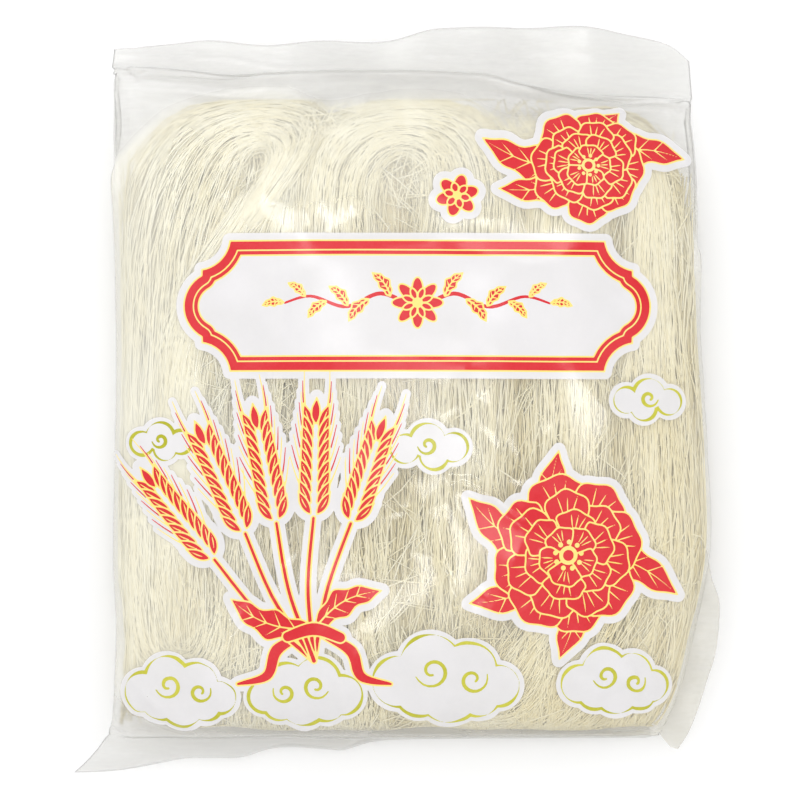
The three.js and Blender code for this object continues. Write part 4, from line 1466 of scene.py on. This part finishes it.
def film_material():
    """Clear film with a milky haze, stronger where two layers lie on each other, with painted glare towards
    the left and the head, painted grey shade at the seals and the foot, and soft gloss.
    """
    made, tree, mist = new_material("clear film")
    seal = own_value(tree, "seal")
    cloud = patches_node(tree, Scale=26.0, Stretch=(1.0, 0.6, 1.0), Detail=4.0, Soft=0.22)
    streak = patches_node(tree, Scale=55.0, Stretch=(1.0, 4.0, 1.0), Detail=3.0, Soft=0.2)
    place = place_node(tree)
    # Partly real haze, partly painted glare: the haze grows towards the left and the head, where the film
    # shines milky white.
    left = mapped(tree, place["X"], -0.05, -0.112, 0.0, 0.3)
    head = mapped(tree, place["Y"], 0.03, 0.11, 0.0, 0.2)
    haze = mapped(tree, cloud, 0.0, 1.0, 0.05, 0.28)
    haze = math_node(tree, "ADD", haze, math_node(tree, "MAXIMUM", left, head))
    sealed = mapped(tree, streak, 0.0, 1.0, 0.3, 0.4)
    haze = add(tree, "ShaderNodeMix", {0: seal, 2: haze, 3: sealed}, data_type="FLOAT").outputs[0]
    # Painted shade: the milky haze of the sealed film is painted grey, darker towards the foot, and tanner at
    # the foot's right.
    foot = mapped(tree, place["Y"], 0.08, -0.12, 0.0, 1.0)
    foot_right = mapped(tree, place["X"], -0.05, 0.06, 0.0, 1.0)
    shaded_foot_milk = blended(tree, foot_right, (0.68, 0.672, 0.64, 1), (0.665, 0.64, 0.55, 1))
    shaded_sealed_milk = blended(tree, foot, (0.735, 0.728, 0.702, 1), shaded_foot_milk)
    milk = blended(tree, seal, (0.955, 0.935, 0.835, 1), shaded_sealed_milk)
    bump = add(tree, "ShaderNodeBump", {"Height": cloud, "Strength": 0.15, "Distance": 0.001})
    tree.links.new(milk, mist.inputs["Base Color"])
    tree.links.new(bump.outputs[0], mist.inputs["Normal"])
    tree.links.new(let_light_through(tree, haze, FILM_PASSES), mist.inputs["Alpha"])
    mist.inputs["Roughness"].default_value = 0.5
    dull = mapped(tree, seal, 0.0, 1.0, 0.11, 0.3)
    gloss = add(tree, "ShaderNodeBsdfGlossy", {"Roughness": dull, "Normal": bump.outputs[0]})
    facing = add(tree, "ShaderNodeLayerWeight", {"Blend": 0.5, "Normal": bump.outputs[0]}).outputs["Facing"]
    shine = math_node(tree, "MULTIPLY_ADD", math_node(tree, "POWER", facing, 5.0), 0.85, 0.055)
    shine = let_light_through(tree, shine, FILM_PASSES)
    film_look = add(tree, "ShaderNodeMixShader", {0: shine, 1: mist.outputs[0], 2: gloss.outputs[0]})
    tree.links.new(film_look.outputs[0], tree.nodes["Material Output"].inputs["Surface"])
    return made


def ink_material(name, full, thin, rough, cover):
    """Printed ink, a little thinner and thicker from place to place. cover is how much it hides."""
    made, tree, skin = new_material(name)
    worn = patches_node(tree, Scale=45.0, Detail=4.0, Soft=0.2)
    dots = patches_node(tree, Scale=900.0, Detail=1.0, Soft=0.2)
    share = mapped(tree, math_node(tree, "MULTIPLY_ADD", dots, 0.25, worn), 0.1, 1.25, 0.0, 1.0)
    tree.links.new(blended(tree, share, full, thin), skin.inputs["Base Color"])
    tree.links.new(mapped(tree, worn, 0.0, 1.0, rough, rough + 0.12), skin.inputs["Roughness"])
    hides = mapped(tree, worn, 0.0, 1.0, cover, cover - 0.06)
    tree.links.new(let_light_through(tree, hides, INK_PASSES), skin.inputs["Alpha"])
    return made


def floor_material():
    made, tree, skin = new_material("pale floor")
    soft = patches_node(tree, Scale=3.0, Soft=0.3)
    grey = blended(tree, soft, (0.93, 0.93, 0.93, 1), (0.95, 0.95, 0.95, 1))
    tree.links.new(grey, skin.inputs["Base Color"])
    skin.inputs["Roughness"].default_value = 0.8
    return made


patches = patches_group()
wheat = noodle_group()


# ---------------------------------------------------------------- the bag
LOWEST = 0.1                          # the film lies on the floor
flat_rows = film_rows()
rows = flat_rows
rows = simulate_film(flat_rows)
rows, flat_rows = finer(rows), finer(flat_rows)
rows += sum(raise_fold(rows, *fold) for fold in FILM_FOLDS)
rows += crumpled(rows)
follow_crease(rows)
ridge(rows, HEAD_CREASE, *HEAD_RIDGE)
rows[..., 2] = np.maximum(rows[..., 2], LOWEST)
for line in FAINT_CREASES:
    ridge(rows, line, *FAINT_RIDGE)
film = mesh_object("film", rows.reshape(-1, 3), tube_faces(*rows.shape[:2]))
float_layer(film, "seal", seal_share(flat_rows, rows))
film_ear = ear()
float_layer(film_ear, "seal", np.ones(len(film_ear.data.vertices)))
core = packed_core()
noodles = [
    hank("hank_left", LEFT_INNER, LEFT_OUTER, 260, 2.6, 11, pull=0.3),
    hank("hank_fill", FILL_LEFT, FILL_RIGHT, 180, 2.6, 12, pull=0.4),
    hank("hank_middle", MIDDLE_INNER, MIDDLE_OUTER, 310, 2.8, 14, pull=0.35),
    hank("hank_right", RIGHT_INNER, RIGHT_OUTER, 300, 2.9, 13, pull=0.4),
    hank("hank_swirl", SWIRL_INNER, SWIRL_OUTER, 130, 1.8, 8, True, dive=(40, 40)),
    hank("hank_foot", FOOT_INNER, FOOT_OUTER, 120, 2.0, 5, True, dive=(40, 40)),
    hank("hank_fan", FAN_LEFT, FAN_RIGHT, 200, 2.0, 13, True, dive=(0, 45)),
    hank("hank_sweep", SWEEP_LEFT, SWEEP_RIGHT, 90, 1.6, 4, True, dive=(8, 50)),
    loose_bits("noodle_bits", BITS),
    shell_strands("hank_front", 350, (0, HALF_RING), 2.2, 2.0, FRONT_FOOT, FRONT_HEAD),
    shell_strands("hank_back", 400, (HALF_RING - 6, RING + 6), 0.4, 2.0, BACK_FOOT, BACK_HEAD),
]
printed = print_meshes(flat_rows, rows)

# Each ink: its slot, its colour where it is full and where it is thin, its roughness and how much it hides.
INK_LOOKS = {"white": ("ink_white", (0.8, 0.785, 0.8, 1), (0.765, 0.755, 0.765, 1), 0.14, 0.92),
             "red": ("ink_red", (0.64, 0.006, 0.016, 1), (0.72, 0.02, 0.035, 1), 0.13, 1.0),
             "gold": ("ink_gold", (0.92, 0.72, 0.16, 1), (0.93, 0.78, 0.28, 1), 0.13, 1.0),
             "olive": ("ink_gold", (0.42, 0.41, 0.012, 1), (0.66, 0.63, 0.075, 1), 0.13, 1.0)}
LOOKS = [([film, film_ear], "film", film_material()), ([core], "noodle", core_material()),
         (noodles, "noodle", noodle_material())]
for name, (slot, *look) in INK_LOOKS.items():
    LOOKS.append(([printed[name]], slot, ink_material(name + " ink", *look)))
for pieces, slot, material in LOOKS:
    for piece in pieces:
        piece.data.materials.append(material)
        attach(piece, "root")
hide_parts("bag")

# ---------------------------------------------------------------- floor, camera and light
FLOOR_HALF, FLOOR_DROP = 2000.0, 0.2
corners = FLOOR_HALF * np.array([(-1, -1, 0), (1, -1, 0), (1, 1, 0), (-1, 1, 0)]) - (0, 0, FLOOR_DROP)
floor = mesh_object("floor", corners, np.array([[0, 1, 2, 3]]))
floor.data.materials.append(floor_material())

# The camera stands as in the photo: over the bag, and almost square to it. Its distance is in metres.
LENS, DISTANCE, ELEVATION = 85, 0.734, math.radians(89.5)
CAMERA_TARGET = (-1.55, -3.9, 16.0)
camera_data = bpy.data.cameras.new("camera")
camera_data.lens = LENS
camera = bpy.data.objects.new("camera", camera_data)
bpy.context.scene.collection.objects.link(camera)
bpy.context.scene.camera = camera
target = Vector(to_frame(CAMERA_TARGET))
camera.location = target + DISTANCE * Vector((0, -math.cos(ELEVATION), math.sin(ELEVATION)))
camera.rotation_euler = (target - camera.location).to_track_quat("-Z", "Y").to_euler()

LIGHTS_TARGET = Vector((0, 0, 0.02))
# Each lamp: its place and sides in metres, and its power in watts.
LIGHTS = (("key", (-0.5, 0.55, 0.85), 0.8, 0.8, 1.8),
          ("fill", (0.7, -0.4, 0.8), 0.9, 0.9, 0.6),
          ("strip_left", (-0.14, 0.2, 1.0), 0.1, 0.5, 0.75),
          ("strip_right", (0.24, -0.06, 1.0), 0.08, 0.4, 0.6),
          ("strip_foot", (-0.02, -0.27, 1.0), 0.4, 0.07, 0.5),
          ("strip_head", (0.16, 0.3, 1.0), 0.3, 0.07, 0.5))
for name, place, wide, long, power in LIGHTS:
    light = bpy.data.lights.new(name, "AREA")
    light.shape = "RECTANGLE"
    light.size, light.size_y = wide, long
    light.energy = power
    lamp = bpy.data.objects.new(name, light)
    lamp.location = place
    lamp.rotation_euler = (LIGHTS_TARGET - Vector(place)).to_track_quat("-Z", "Y").to_euler()
    bpy.context.scene.collection.objects.link(lamp)
ROOM_LIGHT = 0.86
world = bpy.data.worlds.new("room")
bpy.context.scene.world = world
world.use_nodes = True
room = world.node_tree.nodes["Background"].inputs
room["Color"].default_value = (1, 1, 1, 1)
room["Strength"].default_value = ROOM_LIGHT
bpy.context.scene.view_settings.view_transform = "Standard"

bpy.context.view_layer.update()
